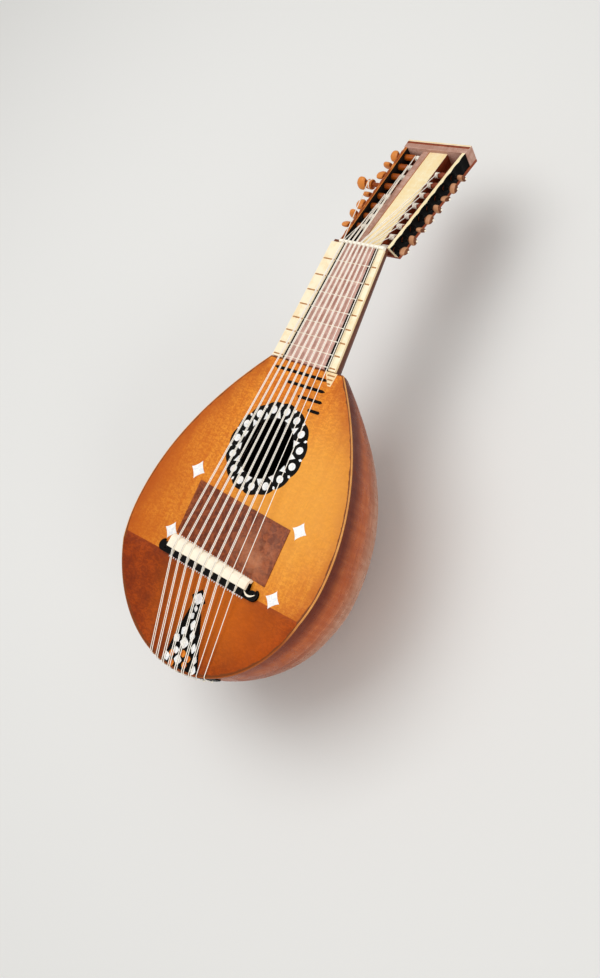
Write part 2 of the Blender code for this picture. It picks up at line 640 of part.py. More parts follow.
def make_clasp():
    """The clasp round the tail with the pins that the strings are looped on."""
    across, down = np.linspace(-CLASP_HALF, CLASP_HALF, 13), np.linspace(0, CLASP_HEIGHT, 5)
    bm = bmesh.new()
    rows = []
    for below in down:
        row = []
        for x in across:
            y = float(tail_face(x, below, GAP))
            row.append(bm.verts.new((x, y, RIM_Z - fold_drop(y) - below)))
        rows.append(row)
    for high, low in zip(rows, rows[1:]):
        for i in range(len(across) - 1):
            bm.faces.new((high[i], low[i], low[i + 1], high[i + 1]))
    mesh = bpy.data.meshes.new("end_clasp")
    bm.normal_update()
    bm.to_mesh(mesh)
    bm.free()
    clasp = place("end_clasp", mesh, EBONY)
    wall = clasp.modifiers.new("wall", "SOLIDIFY")
    wall.thickness = CLASP_WALL
    wall.offset = 1.0
    centres = []
    for number in range(COURSES):
        x, y, z = pin_place(number)
        centres.append((x, y + CLASP_WALL / 2 - (PIN_OUT - CLASP_WALL / 2) / 2, z))
    combine(clasp, cylinders("hitch_pins", centres, (0, 1, 0), PIN_RADIUS, PIN_OUT + CLASP_WALL / 2,
                             PIN_SIDES), "UNION")


def course_x(number, band):
    """The middle of a course, in a band of the given half width."""
    return -band + 2 * band * number / (COURSES - 1)


def clasp_point(x, below, off=0.0):
    """A point before the clasp's outer face, off from it along Y."""
    y = float(tail_face(x, below, GAP + CLASP_WALL))
    return x, y - off, RIM_Z - float(fold_drop(y)) - below


def pin_place(number):
    """Where a course's hitch pin leaves the clasp."""
    return clasp_point(course_x(number, TAIL_BAND) + TAIL_SHIFT, PIN_BELOW_RIM)


def head_point(x, s, n):
    """A point given along and above the head, in the instrument's own axes."""
    cos, sin = math.cos(HEAD_ANGLE), math.sin(HEAD_ANGLE)
    return x, NECK_END_Y + s * cos + n * sin, HEAD_ABOVE_BOARD - s * sin + n * cos


def string_leg(radius, peg, x_nut, x_saddle, x_tail):
    """One string's points from its peg to the tail edge."""
    side, i = peg
    over = GAP + radius
    s = peg_places(side)[i]
    tail_y = float(tail_face(x_tail, 0, BOARD_OVERHANG))
    board_z = -float(fold_drop(tail_y))
    turn = math.tan(BRIDGE_TURN)
    points = [head_point(string_x(side, i), s, -PEG_DROP + winding_radius(side, i) + over)]
    points += [(x_nut, y, NUT_TOP_Z + over) for y in (NUT_Y + NUT_THICK, NUT_Y)]
    points += [(x_saddle, SADDLE_Y + x_saddle * turn + y, SADDLE_TOP_Z + over)
               for y in (SADDLE_SIZE[1] / 2, -SADDLE_SIZE[1] / 2)]
    points.append((x_tail, tail_y, board_z + over + TAIL_RISE))
    points.append(clasp_point(x_tail, 0, (1 + CORNER_ROOM) * over))
    return points


def make_course(number):
    """One course: a gut string looped on its pin, with both legs or one leg to the pegs."""
    share = number / (COURSES - 1)
    radius = BASS_STRING_RADIUS + (TREBLE_STRING_RADIUS - BASS_STRING_RADIUS) * share
    middle = [course_x(number, band) for band in (NUT_BAND, SADDLE_BAND, TAIL_BAND)]
    middle[-1] += TAIL_SHIFT
    loop = PIN_RADIUS + GAP + radius
    doubles = COURSES - SINGLE_COURSES
    bass_courses = PEGS_PER_SIDE // 2
    bass_pegs = [LONG_PEG] + [i for i in range(PEGS_PER_SIDE) if i != LONG_PEG]
    if number < bass_courses:
        pegs = [(-1, bass_pegs[2 * number]), (-1, bass_pegs[2 * number + 1])]
    elif number < doubles:
        inner = 2 * (number - bass_courses)
        pegs = [(1, PEGS_PER_SIDE - 1 - inner), (1, PEGS_PER_SIDE - 2 - inner)]
    else:
        pegs = [(1, COURSES - 1 - number)]
    half = (PAIR_AT_NUT, PAIR_AT_SADDLE, loop) if len(pegs) == 2 else (0, 0, loop)
    route = string_leg(radius, pegs[0], *[m - h for m, h in zip(middle, half)])
    centre = pin_place(number)
    for turn in np.linspace(math.pi, 2 * math.pi, 5):
        route.append(clasp_point(centre[0] + loop * math.cos(turn),
                                 PIN_BELOW_RIM - loop * math.sin(turn), (1 + CORNER_ROOM) * (GAP + radius)))
    if len(pegs) == 2:
        route += string_leg(radius, pegs[1], *[m + h for m, h in zip(middle, half)])[::-1]
    curve = bpy.data.curves.new(f"course_{number + 1}", "CURVE")
    curve.dimensions = "3D"
    curve.bevel_depth = radius
    curve.bevel_resolution = 1
    curve.use_fill_caps = True
    spline = curve.splines.new("POLY")
    spline.points.add(len(route) - 1)
    spline.points.foreach_set("co", np.hstack([np.array(route), np.ones((len(route), 1))]).ravel())
    place(f"course_{number + 1}", curve, GUT)


def settle():
    """Move the whole so that the origin lies under its middle, at its lowest point."""
    bpy.context.view_layer.update()
    graph = bpy.context.evaluated_depsgraph_get()
    corners = []
    for obj in PARTS.objects:
        if obj.type != "EMPTY":
            solid = obj.evaluated_get(graph)
            mesh = solid.to_mesh()
            points = np.empty(len(mesh.vertices) * 3)
            mesh.vertices.foreach_get("co", points)
            points = points.reshape(-1, 3) @ np.array(solid.matrix_world.to_3x3()).T
            points += np.array(solid.matrix_world.translation)
            corners += [points.min(0), points.max(0)]
            solid.to_mesh_clear()
    low, high = np.min(corners, 0), np.max(corners, 0)
    INSTRUMENT.location = (-(low[0] + high[0]) / 2, -(low[1] + high[1]) / 2, -low[2])
    bpy.context.view_layer.update()
    print("whole size in metres:", np.round(high - low, 4))


make_ribs()
make_soundboard()
make_board_trim()
make_bridge()
make_inside()
make_neck()
make_pegbox()
make_pegs()
make_clasp()
for course in range(COURSES):
    make_course(course)
settle()
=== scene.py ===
# %% [markdown]
# # A mandolone: the finished surfaces
#
# A mandolone is a large bowl-backed instrument of the mandolin family. Its construction is already
# there as plain solids. This notebook gives those that show a real surface: bent ribs, a folded
# board of varnished spruce with pearl and black inlay, a bridge with curled ends, turned pegs, gut.
# Nearly every shape is a surface worked out with numpy, in the instrument's own axes: X runs from the
# bass side to the treble side, Y from the tail to the head and Z up from the top of the soundboard.

# %% Load the solids
import math

import bmesh
import bpy
import numpy as np
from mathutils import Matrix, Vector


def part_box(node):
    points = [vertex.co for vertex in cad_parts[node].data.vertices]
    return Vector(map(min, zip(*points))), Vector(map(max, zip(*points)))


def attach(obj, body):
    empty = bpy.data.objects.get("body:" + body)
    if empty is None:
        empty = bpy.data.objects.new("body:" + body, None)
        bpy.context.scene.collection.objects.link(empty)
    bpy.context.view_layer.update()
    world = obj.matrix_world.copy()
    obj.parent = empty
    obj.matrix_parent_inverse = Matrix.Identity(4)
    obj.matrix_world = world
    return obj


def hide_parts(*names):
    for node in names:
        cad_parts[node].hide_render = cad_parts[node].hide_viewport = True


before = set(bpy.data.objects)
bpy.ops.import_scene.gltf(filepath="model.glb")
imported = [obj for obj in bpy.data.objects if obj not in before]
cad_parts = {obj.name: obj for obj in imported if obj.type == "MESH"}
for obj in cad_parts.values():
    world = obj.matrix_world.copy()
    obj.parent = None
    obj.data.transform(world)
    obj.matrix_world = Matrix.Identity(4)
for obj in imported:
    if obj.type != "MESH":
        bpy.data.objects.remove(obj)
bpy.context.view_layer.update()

# %% [markdown]
# ## Sizes
#
# The surfaces have to lie where the solids are, so they use the same driving sizes, in metres. The
# instrument's own origin is where the middle of the bridge meets the board. The place of that origin
# in the world is read from two solids: the board gives X and Z, the nut gives Y.

# %% Driving sizes
GAP = 0.0003
STRING_LENGTH = 0.560
JOINT_Y = 0.350
TAIL_REACH = 0.213
BODY_HALF = 0.210
WIDEST_Y = 0.045
SHOULDER_HALF = 0.076
BOWL_DEPTH = 0.232
SHOULDER_DEPTH = 0.050
BOWL_POWER = 2.3
CANT_Y = -0.022
CANT_SLOPE = math.tan(0.155)
RIBS = 11
RIB_WALL = 0.0020
BOARD_WALL = 0.0030
BOARD_OVERHANG = 0.0015
RIM_Z = -BOARD_WALL - GAP
SADDLE_Y = 0.0015
NUT_Y = SADDLE_Y + STRING_LENGTH
NECK_START_Y = JOINT_Y + GAP
NECK_END_Y = NUT_Y + 0.0062
NECK_OFFSET = -0.0045
FINGERBOARD_TOP = 0.0050
SADDLE_TOP = 0.0116
NUT_TOP = 0.0080

board_low, board_high = map(np.array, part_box("soundboard"))
nut_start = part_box("nut")[0][1]
ORIGIN = np.array([(board_low[0] + board_high[0]) / 2, nut_start - NUT_Y, board_high[2]])
print("the bridge stands at", np.round(ORIGIN, 4))

# %% [markdown]
# ## Camera and light
#
# The camera stands on the treble side and looks down across the board, turned so that the neck
# points to the upper right. Its place, turn and lens were found from the outline, the round rosette
# and the frets. The light is a soft lamp high on the bass side near the head, so that shadows fall
# towards the tail on the treble side, a low weak one for the side of the bowl, and an even sky.

# %% Camera
CAMERA_PLACE = np.array([1.0874878, 0.0217849, 1.2330937])
CAMERA_TURN = np.radians([23.108904, 32.405792, 30.465640])
LONG_SIDE = 978
FOCAL_PIXELS = 1050.62
SENSOR = 36.0

camera_data = bpy.data.cameras.new("camera")
camera_data.sensor_width = SENSOR
camera_data.lens = FOCAL_PIXELS * SENSOR / LONG_SIDE
camera = bpy.data.objects.new("camera", camera_data)
camera.location = ORIGIN + CAMERA_PLACE
camera.rotation_euler = CAMERA_TURN
bpy.context.scene.collection.objects.link(camera)
bpy.context.scene.camera = camera
bpy.context.scene.view_settings.view_transform = "Standard"
print("lens", round(camera_data.lens, 2), "mm")


# %% Lamps and sky
def lamp(name, direction, distance, size, level):
    """A square lamp aimed at the bridge; level is the share of full white that it gives a white
    surface facing it, from power = level * pi^2 * distance^2."""
    data = bpy.data.lights.new(name, "AREA")
    data.size = size
    data.energy = level * math.pi ** 2 * distance ** 2
    made = bpy.data.objects.new(name, data)
    away = np.array(direction) / np.linalg.norm(direction)
    made.location = ORIGIN + away * distance
    made.rotation_euler = (math.acos(away[2]), 0, math.atan2(away[1], away[0]) + math.pi / 2)
    bpy.context.scene.collection.objects.link(made)


lamp("high_lamp", (-0.30, 0.24, 1.2), 2.8, 2.2, 0.62)
lamp("side_lamp", (1.0, -0.30, 0.30), 4.5, 2.4, 0.34)
SKY_LEVEL = 0.50
world = bpy.data.worlds.new("studio")
world.use_nodes = True
bpy.context.scene.world = world
sky = world.node_tree.nodes["Background"]
sky.inputs["Color"].default_value = (1.0, 0.985, 0.96, 1.0)
sky.inputs["Strength"].default_value = SKY_LEVEL

# %% [markdown]
# ## Node helpers
#
# A material here is a short function, so it needs short words for adding a node, mixing two colours
# and stretching a value. Colours are written as a screen shows them and turned into linear values.


# %% Short words for nodes
def paint(red, green, blue):
    """A screen colour, 0 to 255, as linear light: ((c + 0.055) / 1.055) ^ 2.4."""
    part = (np.array([red, green, blue]) / 255 + 0.055) / 1.055
    return (*[float(value) for value in part ** 2.4], 1.0)


def put(tree, socket, value):
    """Link an output to an input, or set the input's value."""
    if isinstance(value, bpy.types.NodeSocket):
        tree.links.new(value, socket)
    else:
        socket.default_value = value


def node(tree, kind, inputs=(), **settings):
    """Add a node with its settings and with inputs by name or number, and return its outputs."""
    made = tree.nodes.new("ShaderNode" + kind)
    for name, value in settings.items():
        setattr(made, name, value)
    for name, value in dict(inputs).items():
        put(tree, made.inputs[name], value)
    return made.outputs


def maths(tree, operation, first, second):
    """One sum, difference or product, clamped to 0 and 1."""
    return node(tree, "Math", {0: first, 1: second}, operation=operation, use_clamp=True)[0]


def vectors(tree, operation, first, second, output=0):
    """One operation on two vectors, such as a product part by part or the distance between them."""
    return node(tree, "VectorMath", {0: first, 1: second}, operation=operation)[output]


def stretch(tree, value, low, high, to_low=0.0, to_high=1.0):
    """Map low..high to to_low..to_high with soft ends."""
    inputs = enumerate((value, low, high, to_low, to_high))
    return node(tree, "MapRange", inputs, interpolation_type="SMOOTHSTEP")[0]


def mix(tree, factor, first, second, blend="MIX"):
    """Mix two colours."""
    return node(tree, "Mix", {0: factor, 6: first, 7: second}, data_type="RGBA", blend_type=blend)[2]


def tint(tree, colour, factor, *screen):
    """Lay a screen colour over another colour, as far as the factor says."""
    return mix(tree, factor, colour, paint(*screen))


def noise(tree, place, cells, detail=2.0, roughness=0.5, distortion=0.0):
    """Noise with so many cells to a metre. Cells as a vector draw it out along one axis."""
    if not isinstance(cells, float):
        place, cells = vectors(tree, "MULTIPLY", place, cells), 1.0
    return node(tree, "TexNoise", {"Vector": place, "Scale": cells, "Detail": detail,
                                   "Roughness": roughness, "Distortion": distortion})[0]


def spot(tree, place, middle, inner, outer, amount):
    """A soft round patch: amount within the inner radius, falling to 0 at the outer one."""
    away = vectors(tree, "DISTANCE", place, middle, "Value")
    return stretch(tree, away, inner, outer, amount, 0.0)


def split(tree, vector):
    """The three parts of a vector."""
    return node(tree, "SeparateXYZ", {0: vector})


def own_axes(tree):
    """Object coordinates, centred on the instrument's own origin by a Mapping node."""
    seen = node(tree, "TexCoord")["Object"]
    return node(tree, "Mapping", {"Vector": seen, "Location": ORIGIN.tolist()}, vector_type="TEXTURE")[0]


def stored(tree, name, output="Fac"):
    """A value kept in the mesh."""
    return node(tree, "Attribute", attribute_name=name)[output]


# %% [markdown]
# ## Two effects that many finishes share
#
# Wood grain is noise drawn out along the fibre: fine streaks for the pores and a slow change for the
# growth rings. A figure, the cross stripes of maple, is a band across the fibre. Use leaves a second
# pattern: edges are rubbed, hollows hold dirt and the varnish is uneven. Each of the two is one node
# group with named sockets, built once, so that the finishes that use it age in the same way.


# %% A group with named sockets
def new_group(name, takes, gives):
    """A shader node group; takes maps inputs to default values, gives maps outputs to kinds."""
    tree = bpy.data.node_groups.new(name, "ShaderNodeTree")
    for label, default in takes.items():
        kind = {3: "NodeSocketVector", 4: "NodeSocketColor"}[len(default)] \
            if isinstance(default, tuple) else "NodeSocketFloat"
        socket = tree.interface.new_socket(label, in_out="INPUT", socket_type=kind)
        socket.default_value = default
    for label, kind in gives.items():
        tree.interface.new_socket(label, in_out="OUTPUT", socket_type=kind)
    return tree, tree.nodes.new("NodeGroupInput").outputs, tree.nodes.new("NodeGroupOutput").inputs


# %% The grain group
FIBRE = 1 / 40
SLOW_RINGS = (60.0, 4.0, 60.0)
CROSS_BANDS = (14.0, 110.0, 14.0)


def make_grain():
    """Streaks = noise(x * lines, y * lines * FIBRE, z * lines); the figure is a wave across them."""
    tree, given, out = new_group(
        "grain",
        {"Vector": (0.0, 0.0, 0.0), "Lines": 600.0, "Figure": 0.0,
         "Pale": (0.5, 0.5, 0.5, 1.0), "Dark": (0.1, 0.1, 0.1, 1.0)},
        {"Color": "NodeSocketColor", "Height": "NodeSocketFloat"})
    place, lines = given["Vector"], given["Lines"]
    along = node(tree, "Math", {0: lines, 1: FIBRE}, operation="MULTIPLY")[0]
    drawn = node(tree, "CombineXYZ", {"X": lines, "Y": along, "Z": lines})[0]
    streak = stretch(tree, noise(tree, place, drawn, 4.0, 0.65), 0.34, 0.66)
    ring = stretch(tree, noise(tree, place, SLOW_RINGS), 0.3, 0.7)
    bend = noise(tree, place, CROSS_BANDS, 3.0, distortion=0.6)
    band = maths(tree, "MULTIPLY", stretch(tree, bend, 0.4, 0.62), given["Figure"])
    streaks, rings = maths(tree, "MULTIPLY", streak, 0.55), maths(tree, "MULTIPLY", ring, 0.45)
    level = maths(tree, "ADD", streaks, rings)
    colour = mix(tree, level, given["Dark"], given["Pale"])
    put(tree, out["Color"], mix(tree, band, colour, given["Dark"]))
    put(tree, out["Height"], maths(tree, "SUBTRACT", streak, maths(tree, "MULTIPLY", band, 0.4)))
    return tree


GRAIN = make_grain()


def grained(tree, place, lines, figure, pale, dark):
    """The grain's colour and height at a place."""
    given = {"Vector": place, "Lines": lines, "Figure": figure, "Pale": pale, "Dark": dark}
    return node(tree, "Group", given, node_tree=GRAIN)


# %% The wear group
SCRATCHES = (900.0, 60.0, 900.0)


def make_wear():
    """Rubbed = stored edge value plus noise above a threshold; dirt and gloss are slow noises."""
    tree, given, out = new_group(
        "wear",
        {"Vector": (0.0, 0.0, 0.0), "Edge": 0.0, "Amount": 0.5},
        {label: "NodeSocketFloat" for label in ("Rubbed", "Dirt", "Gloss", "Marks")})
    place = given["Vector"]
    patches = noise(tree, place, 55.0, 5.0, 0.6)
    threshold = maths(tree, "SUBTRACT", 1.2, given["Amount"])
    rough_edge = maths(tree, "ADD", given["Edge"], maths(tree, "SUBTRACT", patches, 0.42))
    above = maths(tree, "SUBTRACT", rough_edge, threshold)
    put(tree, out["Rubbed"], stretch(tree, above, 0.0, 0.22))
    slow = noise(tree, place, 9.0, 4.0, 0.55)
    put(tree, out["Dirt"], maths(tree, "MULTIPLY", stretch(tree, slow, 0.48, 0.75), given["Amount"]))
    put(tree, out["Gloss"], stretch(tree, patches, 0.3, 0.75))
    put(tree, out["Marks"], stretch(tree, noise(tree, place, SCRATCHES, distortion=0.4), 0.62, 0.74))
    return tree


WEAR = make_wear()


def worn(tree, place, amount):
    """What use has done at a place: its outputs are Rubbed, Dirt, Gloss and Marks."""
    given = {"Vector": place, "Edge": stored(tree, "edge"), "Amount": amount}
    return node(tree, "Group", given, node_tree=WEAR)


# %% [markdown]
# ## Finishes
#
# Every wood here is the same recipe with its own colours: grain gives the colour and a shallow relief,
# wear pales the edges and dulls patches, and a clear coat lies on top. Only the board, the ribs, the
# strip round the board, the shell plate, the pearl, the bone and the gut need a recipe of their own.

# %% How a finish starts and ends
FULL_COAT = 0.35
COAT_ROUGHNESS = 0.18
BUMP_STRENGTH = 0.6


def start(name, roughness, coat=0.0, specular=0.15):
    """A new material, its tree and its shader's inputs; coat is a share of the full coat."""
    made = bpy.data.materials.new(name)
    made.use_nodes = True
    shader = made.node_tree.nodes["Principled BSDF"].inputs
    for label, value in (("Roughness", roughness), ("Specular IOR Level", specular),
                         ("Coat Weight", coat * FULL_COAT), ("Coat Roughness", COAT_ROUGHNESS)):
        shader[label].default_value = value
    return made, made.node_tree, shader


def end(tree, shader, colour, height, depth, gloss=None, between=(0.0, 1.0)):
    """Set the colour and a bump of that depth in metres; gloss moves the roughness between two
    values."""
    put(tree, shader["Base Color"], colour)
    bump = {"Strength": BUMP_STRENGTH, "Distance": depth, "Height": height}
    put(tree, shader["Normal"], node(tree, "Bump", bump)[0])
    if gloss:
        put(tree, shader["Roughness"], stretch(tree, gloss, 0, 1, *between))


# %% The recipe for wood
GRAIN_DEPTH = 0.00012


def wood(name, pale, dark, lines=600.0, figure=0.0, roughness=0.42, coat=0.2, amount=0.5,
         rubbed=None, along="Y", specular=0.15):
    """Grain along one axis, dirt in patches, and paler rubbed edges, from two screen colours."""
    made, tree, shader = start(name, roughness, coat, specular)
    place = own_axes(tree)
    if along == "X":
        place = node(tree, "Mapping", {"Vector": place, "Rotation": (0, 0, math.pi / 2)})[0]
    grain = grained(tree, place, lines, figure, paint(*pale), paint(*dark))
    wear = worn(tree, place, amount)
    colour = tint(tree, grain["Color"], maths(tree, "MULTIPLY", wear["Dirt"], 0.7), *dark)
    colour = tint(tree, colour, wear["Rubbed"], *(rubbed or pale))
    end(tree, shader, colour, grain["Height"], GRAIN_DEPTH, wear["Gloss"],
        (roughness - 0.08, roughness + 0.12))
    return made


# %% The board's varnish
MOTTLE = (150.0, 260.0, 150.0)
PAINTED_LIGHT_SPOT, TAIL_SPOT, TREBLE_SPOT = (0.10, 0.14, 0.0), (0.02, -0.05, 0.0), (0.13, -0.07, 0.0)
STAIN_AND_SHADE_LINE = (0.027, 1.0, 0.0)
STAIN_AND_SHADE_FULL, STAIN_AND_SHADE_NONE = CANT_Y + 0.0080, CANT_Y + 0.0093


def make_board_finish():
    """Orange varnish, browner to the bass edge, with a painted pool of light right of the middle and
    painted shade along the edge. The tail is dark up to a line a little off the fold, partly painted
    shade of the face turned from the light and partly a darker varnish: the line is where the place's
    dot product with a fixed direction is constant."""
    made, tree, shader = start("varnished_spruce", 0.40, 0.1, 0.12)
    place = own_axes(tree)
    grain = grained(tree, place, 700.0, 0.25, paint(250, 166, 52), paint(218, 120, 22))
    cloud = noise(tree, place, 16.0, 6.0, 0.62)
    fleck = stretch(tree, noise(tree, place, MOTTLE, 3.0, distortion=0.8), 0.40, 0.62, 0.50, 0.0)
    colour = tint(tree, grain["Color"], fleck, 186, 84, 8)
    bass = stretch(tree, split(tree, place)[0], -0.21, -0.06, 0.90, 0.0)
    bass = maths(tree, "MULTIPLY", bass, stretch(tree, cloud, 0.25, 0.65, 0.55, 1.0))
    colour = tint(tree, colour, bass, 184, 84, 6)
    rim_shade = maths(tree, "MULTIPLY", stored(tree, "rim"), stretch(tree, cloud, 0.3, 0.6, 0.4, 0.8))
    colour = tint(tree, colour, rim_shade, 176, 78, 8)
    # A painted pool of light right of the middle of the board.
    colour = tint(tree, colour, spot(tree, place, PAINTED_LIGHT_SPOT, 0.04, 0.19, 0.70), 238, 166, 62)
    # The tail's colour past the fold: partly painted shade of the face turned from the light, partly a
    # darker varnish.
    dark = mix(tree, stretch(tree, cloud, 0.3, 0.66), paint(116, 34, 0), paint(168, 66, 4))
    dark = tint(tree, dark, fleck, 100, 32, 2)
    dark = tint(tree, dark, spot(tree, place, TAIL_SPOT, 0.03, 0.14, 0.65), 208, 108, 18)
    dark = tint(tree, dark, spot(tree, place, TREBLE_SPOT, 0.02, 0.10, 0.45), 200, 90, 12)
    slanted = vectors(tree, "DOT_PRODUCT", place, STAIN_AND_SHADE_LINE, "Value")
    stain_and_fold_shade = stretch(tree, slanted, STAIN_AND_SHADE_FULL, STAIN_AND_SHADE_NONE, 1.0, 0.0)
    colour = mix(tree, maths(tree, "MULTIPLY", stain_and_fold_shade, 0.96), colour, dark)
    wear = worn(tree, place, 0.45)
    colour = tint(tree, colour, maths(tree, "MULTIPLY", wear["Dirt"], 0.5), 170, 84, 24)
    colour = tint(tree, colour, maths(tree, "MULTIPLY", wear["Marks"], 0.15), 120, 60, 24)
    colour = tint(tree, colour, wear["Rubbed"], 120, 60, 22)
    end(tree, shader, colour, grain["Height"], 0.00010, wear["Gloss"], (0.32, 0.50))
    return made


# %% Shell, ribs and the strip along the edge
HAZE_SPOT = (0.072, 0.046, 0.0)


def make_shell_finish():
    """Dark brown with warm flecks, and a pale haze towards the treble side."""
    made, tree, shader = start("tortoiseshell", 0.28, 0.15)
    place = own_axes(tree)
    blot = stretch(tree, noise(tree, place, 90.0, 5.0, 0.6, 1.2), 0.38, 0.66)
    colour = mix(tree, blot, paint(106, 44, 16), paint(156, 78, 38))
    haze = stretch(tree, noise(tree, place, (14.0, 22.4, 14.0), 6.0, 0.7), 0.32, 0.66)
    haze = maths(tree, "MULTIPLY", spot(tree, place, HAZE_SPOT, 0.010, 0.062, 0.9), haze)
    colour = tint(tree, colour, haze, 190, 122, 84)
    wear = worn(tree, place, 0.5)
    end(tree, shader, colour, wear["Marks"], -0.00004, wear["Gloss"], (0.20, 0.38))
    return made


def make_rib_finish(name, darker):
    """Curled maple, darker towards the tail, with painted shade at the board and painted reflected
    light that makes it paler with the depth below.
    """
    made, tree, shader = start(name, 0.36, 0.15)
    place, lay = own_axes(tree), stored(tree, "lay", "Vector")
    grain = grained(tree, lay, 900.0, 0.55, paint(255, 255, 255), paint(204, 166, 138))
    _, y, z = split(tree, place)
    # Painted shade: dark at the board. Painted reflected light: paler lower down.
    colour = mix(tree, stretch(tree, z, -0.050, -0.016), paint(198, 108, 52), paint(112, 42, 10))
    colour = mix(tree, stretch(tree, z, -0.120, -0.056), paint(216, 168, 142), colour)
    colour = tint(tree, colour, stretch(tree, y, -0.12, 0.02, 0.6, 0.0), 160, 78, 26)
    colour = tint(tree, colour, darker, 96, 48, 28)
    colour = mix(tree, 1.0, colour, grain["Color"], "MULTIPLY")
    wear = worn(tree, place, 0.45)
    colour = tint(tree, colour, maths(tree, "MULTIPLY", wear["Dirt"], 0.4), 110, 60, 36)
    end(tree, shader, colour, grain["Height"], 0.00012, wear["Gloss"], (0.26, 0.46))
    return made


def make_edge_finish():
    """The strip round the board: tan beside the flat part, brown past the fold, where the brown is
    partly painted shade, as on the board.
    """
    made, tree, shader = start("edge_wood", 0.42, 0.1)
    place = own_axes(tree)
    grain = grained(tree, place, 700.0, 0.2, paint(240, 176, 100), paint(210, 132, 58))
    past_fold = stretch(tree, split(tree, place)[1], CANT_Y - 0.040, CANT_Y + 0.020, 1.0, 0.0)
    end(tree, shader, tint(tree, grain["Color"], past_fold, 156, 78, 24), grain["Height"], 0.00006)
    return made


# %% Pearl, bone and gut
PORES = (260.0, 1100.0, 1100.0)
PLY = (2.0, 900.0, 1.0)


def make_pearl_finish():
    """Pale nacre: soft bands of pink and green that change from piece to piece."""
    made, tree, shader = start("pearl", 0.24, 0.4)
    place = own_axes(tree)
    wave = noise(tree, place, 120.0, 3.0, distortion=2.0)
    colour = mix(tree, stretch(tree, wave, 0.35, 0.62), paint(232, 236, 240), paint(255, 253, 248))
    pink = stretch(tree, noise(tree, place, 60.0, distortion=3.0), 0.55, 0.72, 0.0, 0.35)
    end(tree, shader, tint(tree, colour, pink, 250, 214, 214), wave, 0.00005)
    put(tree, shader["Roughness"], stretch(tree, wave, 0.3, 0.7, 0.18, 0.34))
    return made


def make_bone_finish(name, pale, dark):
    """Fine pores and yellowing in patches, darker where the edge holds dirt."""
    made, tree, shader = start(name, 0.38, 0.15)
    place = own_axes(tree)
    pores = noise(tree, place, PORES, 3.0)
    wear = worn(tree, place, 0.5)
    aged = maths(tree, "MULTIPLY", wear["Dirt"], 0.8)
    aged = maths(tree, "ADD", aged, stretch(tree, pores, 0.56, 0.72, 0.0, 0.3))
    end(tree, shader, mix(tree, aged, pale, dark), pores, 0.00004, wear["Gloss"], (0.30, 0.48))
    return made


def make_gut_finish():
    """Pale twisted gut: a fine diagonal ply along the stored length of the string."""
    made, tree, shader = start("gut", 0.36, 0.1)
    ply = noise(tree, stored(tree, "lay", "Vector"), PLY)
    colour = mix(tree, stretch(tree, ply, 0.4, 0.62), paint(250, 240, 220), paint(255, 254, 250))
    end(tree, shader, colour, ply, 0.00003)
    return made


# %% All the finishes
BOARD = make_board_finish()
SHELL = make_shell_finish()
PEARL = make_pearl_finish()
BONE = make_bone_finish("bone", paint(255, 248, 232), paint(232, 208, 160))
IVORY = make_bone_finish("ivory", paint(255, 244, 222), paint(240, 208, 170))
GUT = make_gut_finish()
EDGE_WOOD = make_edge_finish()
RIB = [make_rib_finish("rib_even", 0.0), make_rib_finish("rib_odd", 0.16)]
CREAM = wood("cream_inlay", (254, 240, 208), (242, 208, 146), 700, 0.2, 0.42, 0.2, 0.6)
TICK = wood("tick_brown", (206, 150, 92), (160, 104, 56), 700, 0, 0.5, 0.1)
# Near black painted shade for the inside of the bowl and the walls of the bass slot.
SHADE_BLACK = wood("painted_shade_black", (34, 22, 16), (16, 10, 8), 500, 0, 0.75, 0.0)
NECK_WOOD = wood("stained_neck", (112, 60, 38), (64, 30, 18), 700, 0.1, 0.34, 0.3)
PANEL = wood("rosewood_panel", (226, 190, 178), (182, 128, 112), 800, 0.35, 0.42, 0.15)
EBONY, BRIDGE_EBONY = (wood(name, (12, 10, 10), (3, 2, 2), 900, 0, 0.5, 0.0, 0.45, (40, 34, 32), along,
                            0.06) for name, along in (("ebony", "Y"), ("bridge_ebony", "X")))
MAPLE = wood("pale_maple", (255, 244, 208), (250, 222, 164), 600, 0.4, 0.40, 0.2)
# A darker red-brown. On the walls of the treble slot, the head's back under the slots and the treble peg
# shafts it is partly painted shade of the slots; in the end block's band it is the wood's own colour.
SLOT_RED = wood("slot_red", (168, 82, 50), (116, 50, 28), 400, 0.3, 0.5, 0.1)
ROSY = wood("rosy_maple", (214, 178, 162), (172, 124, 106), 500, 0.6, 0.42, 0.2)
AMBER = wood("amber_tile", (240, 150, 50), (206, 104, 24), 700, 0.3, 0.4, 0.2)
LINE_BROWN = wood("brown_line", (196, 112, 46), (150, 76, 28), 500, 0, 0.45, 0.1)
PEG_BROWN, KNOB_BROWN = (wood(name, pale, dark, 700, 0.3, 0.36, 0.3, 0.6, rubbed, "X")
                         for name, pale, dark, rubbed in (
                             ("peg_boxwood", (186, 92, 22), (122, 52, 10), (222, 138, 62)),
                             ("knob_boxwood", (154, 94, 60), (94, 50, 28), (190, 136, 98))))
RAW = wood("raw_spruce", (206, 168, 118), (168, 126, 80), 500, 0.0, 0.65, 0.0, along="X")
print(len(bpy.data.materials), "materials")

# %% [markdown]
# ## Surface helpers
#
# Every piece below is one or more lattices of points: rows by columns by three. Neighbouring points
# make quads, a lattice can close on itself, and two ends can be capped. A row whose points all
# coincide is a pole: merging doubles afterwards turns its quads into triangles. Two values are kept
# at each point for the finishes: edge, 1 where hands and dust reach an edge, and lay, a place along
# and across a bent piece.


# %% Short words for points
def stacked(*parts):
    """Coordinates of any shapes, spread over one another and joined along a last axis."""
    return np.stack(np.broadcast_arrays(*parts), -1)


def unit(directions):
    """Directions scaled to a length of 1."""
    return directions / np.linalg.norm(directions, axis=-1, keepdims=True)


def full_turn(steps):
    """Evenly spaced angles round a full turn."""
    return np.arange(steps) * 2 * math.pi / steps


def signed_power(value, power):
    """The power of a value's size, with the value's own sign."""
    return np.sign(value) * np.abs(value) ** power


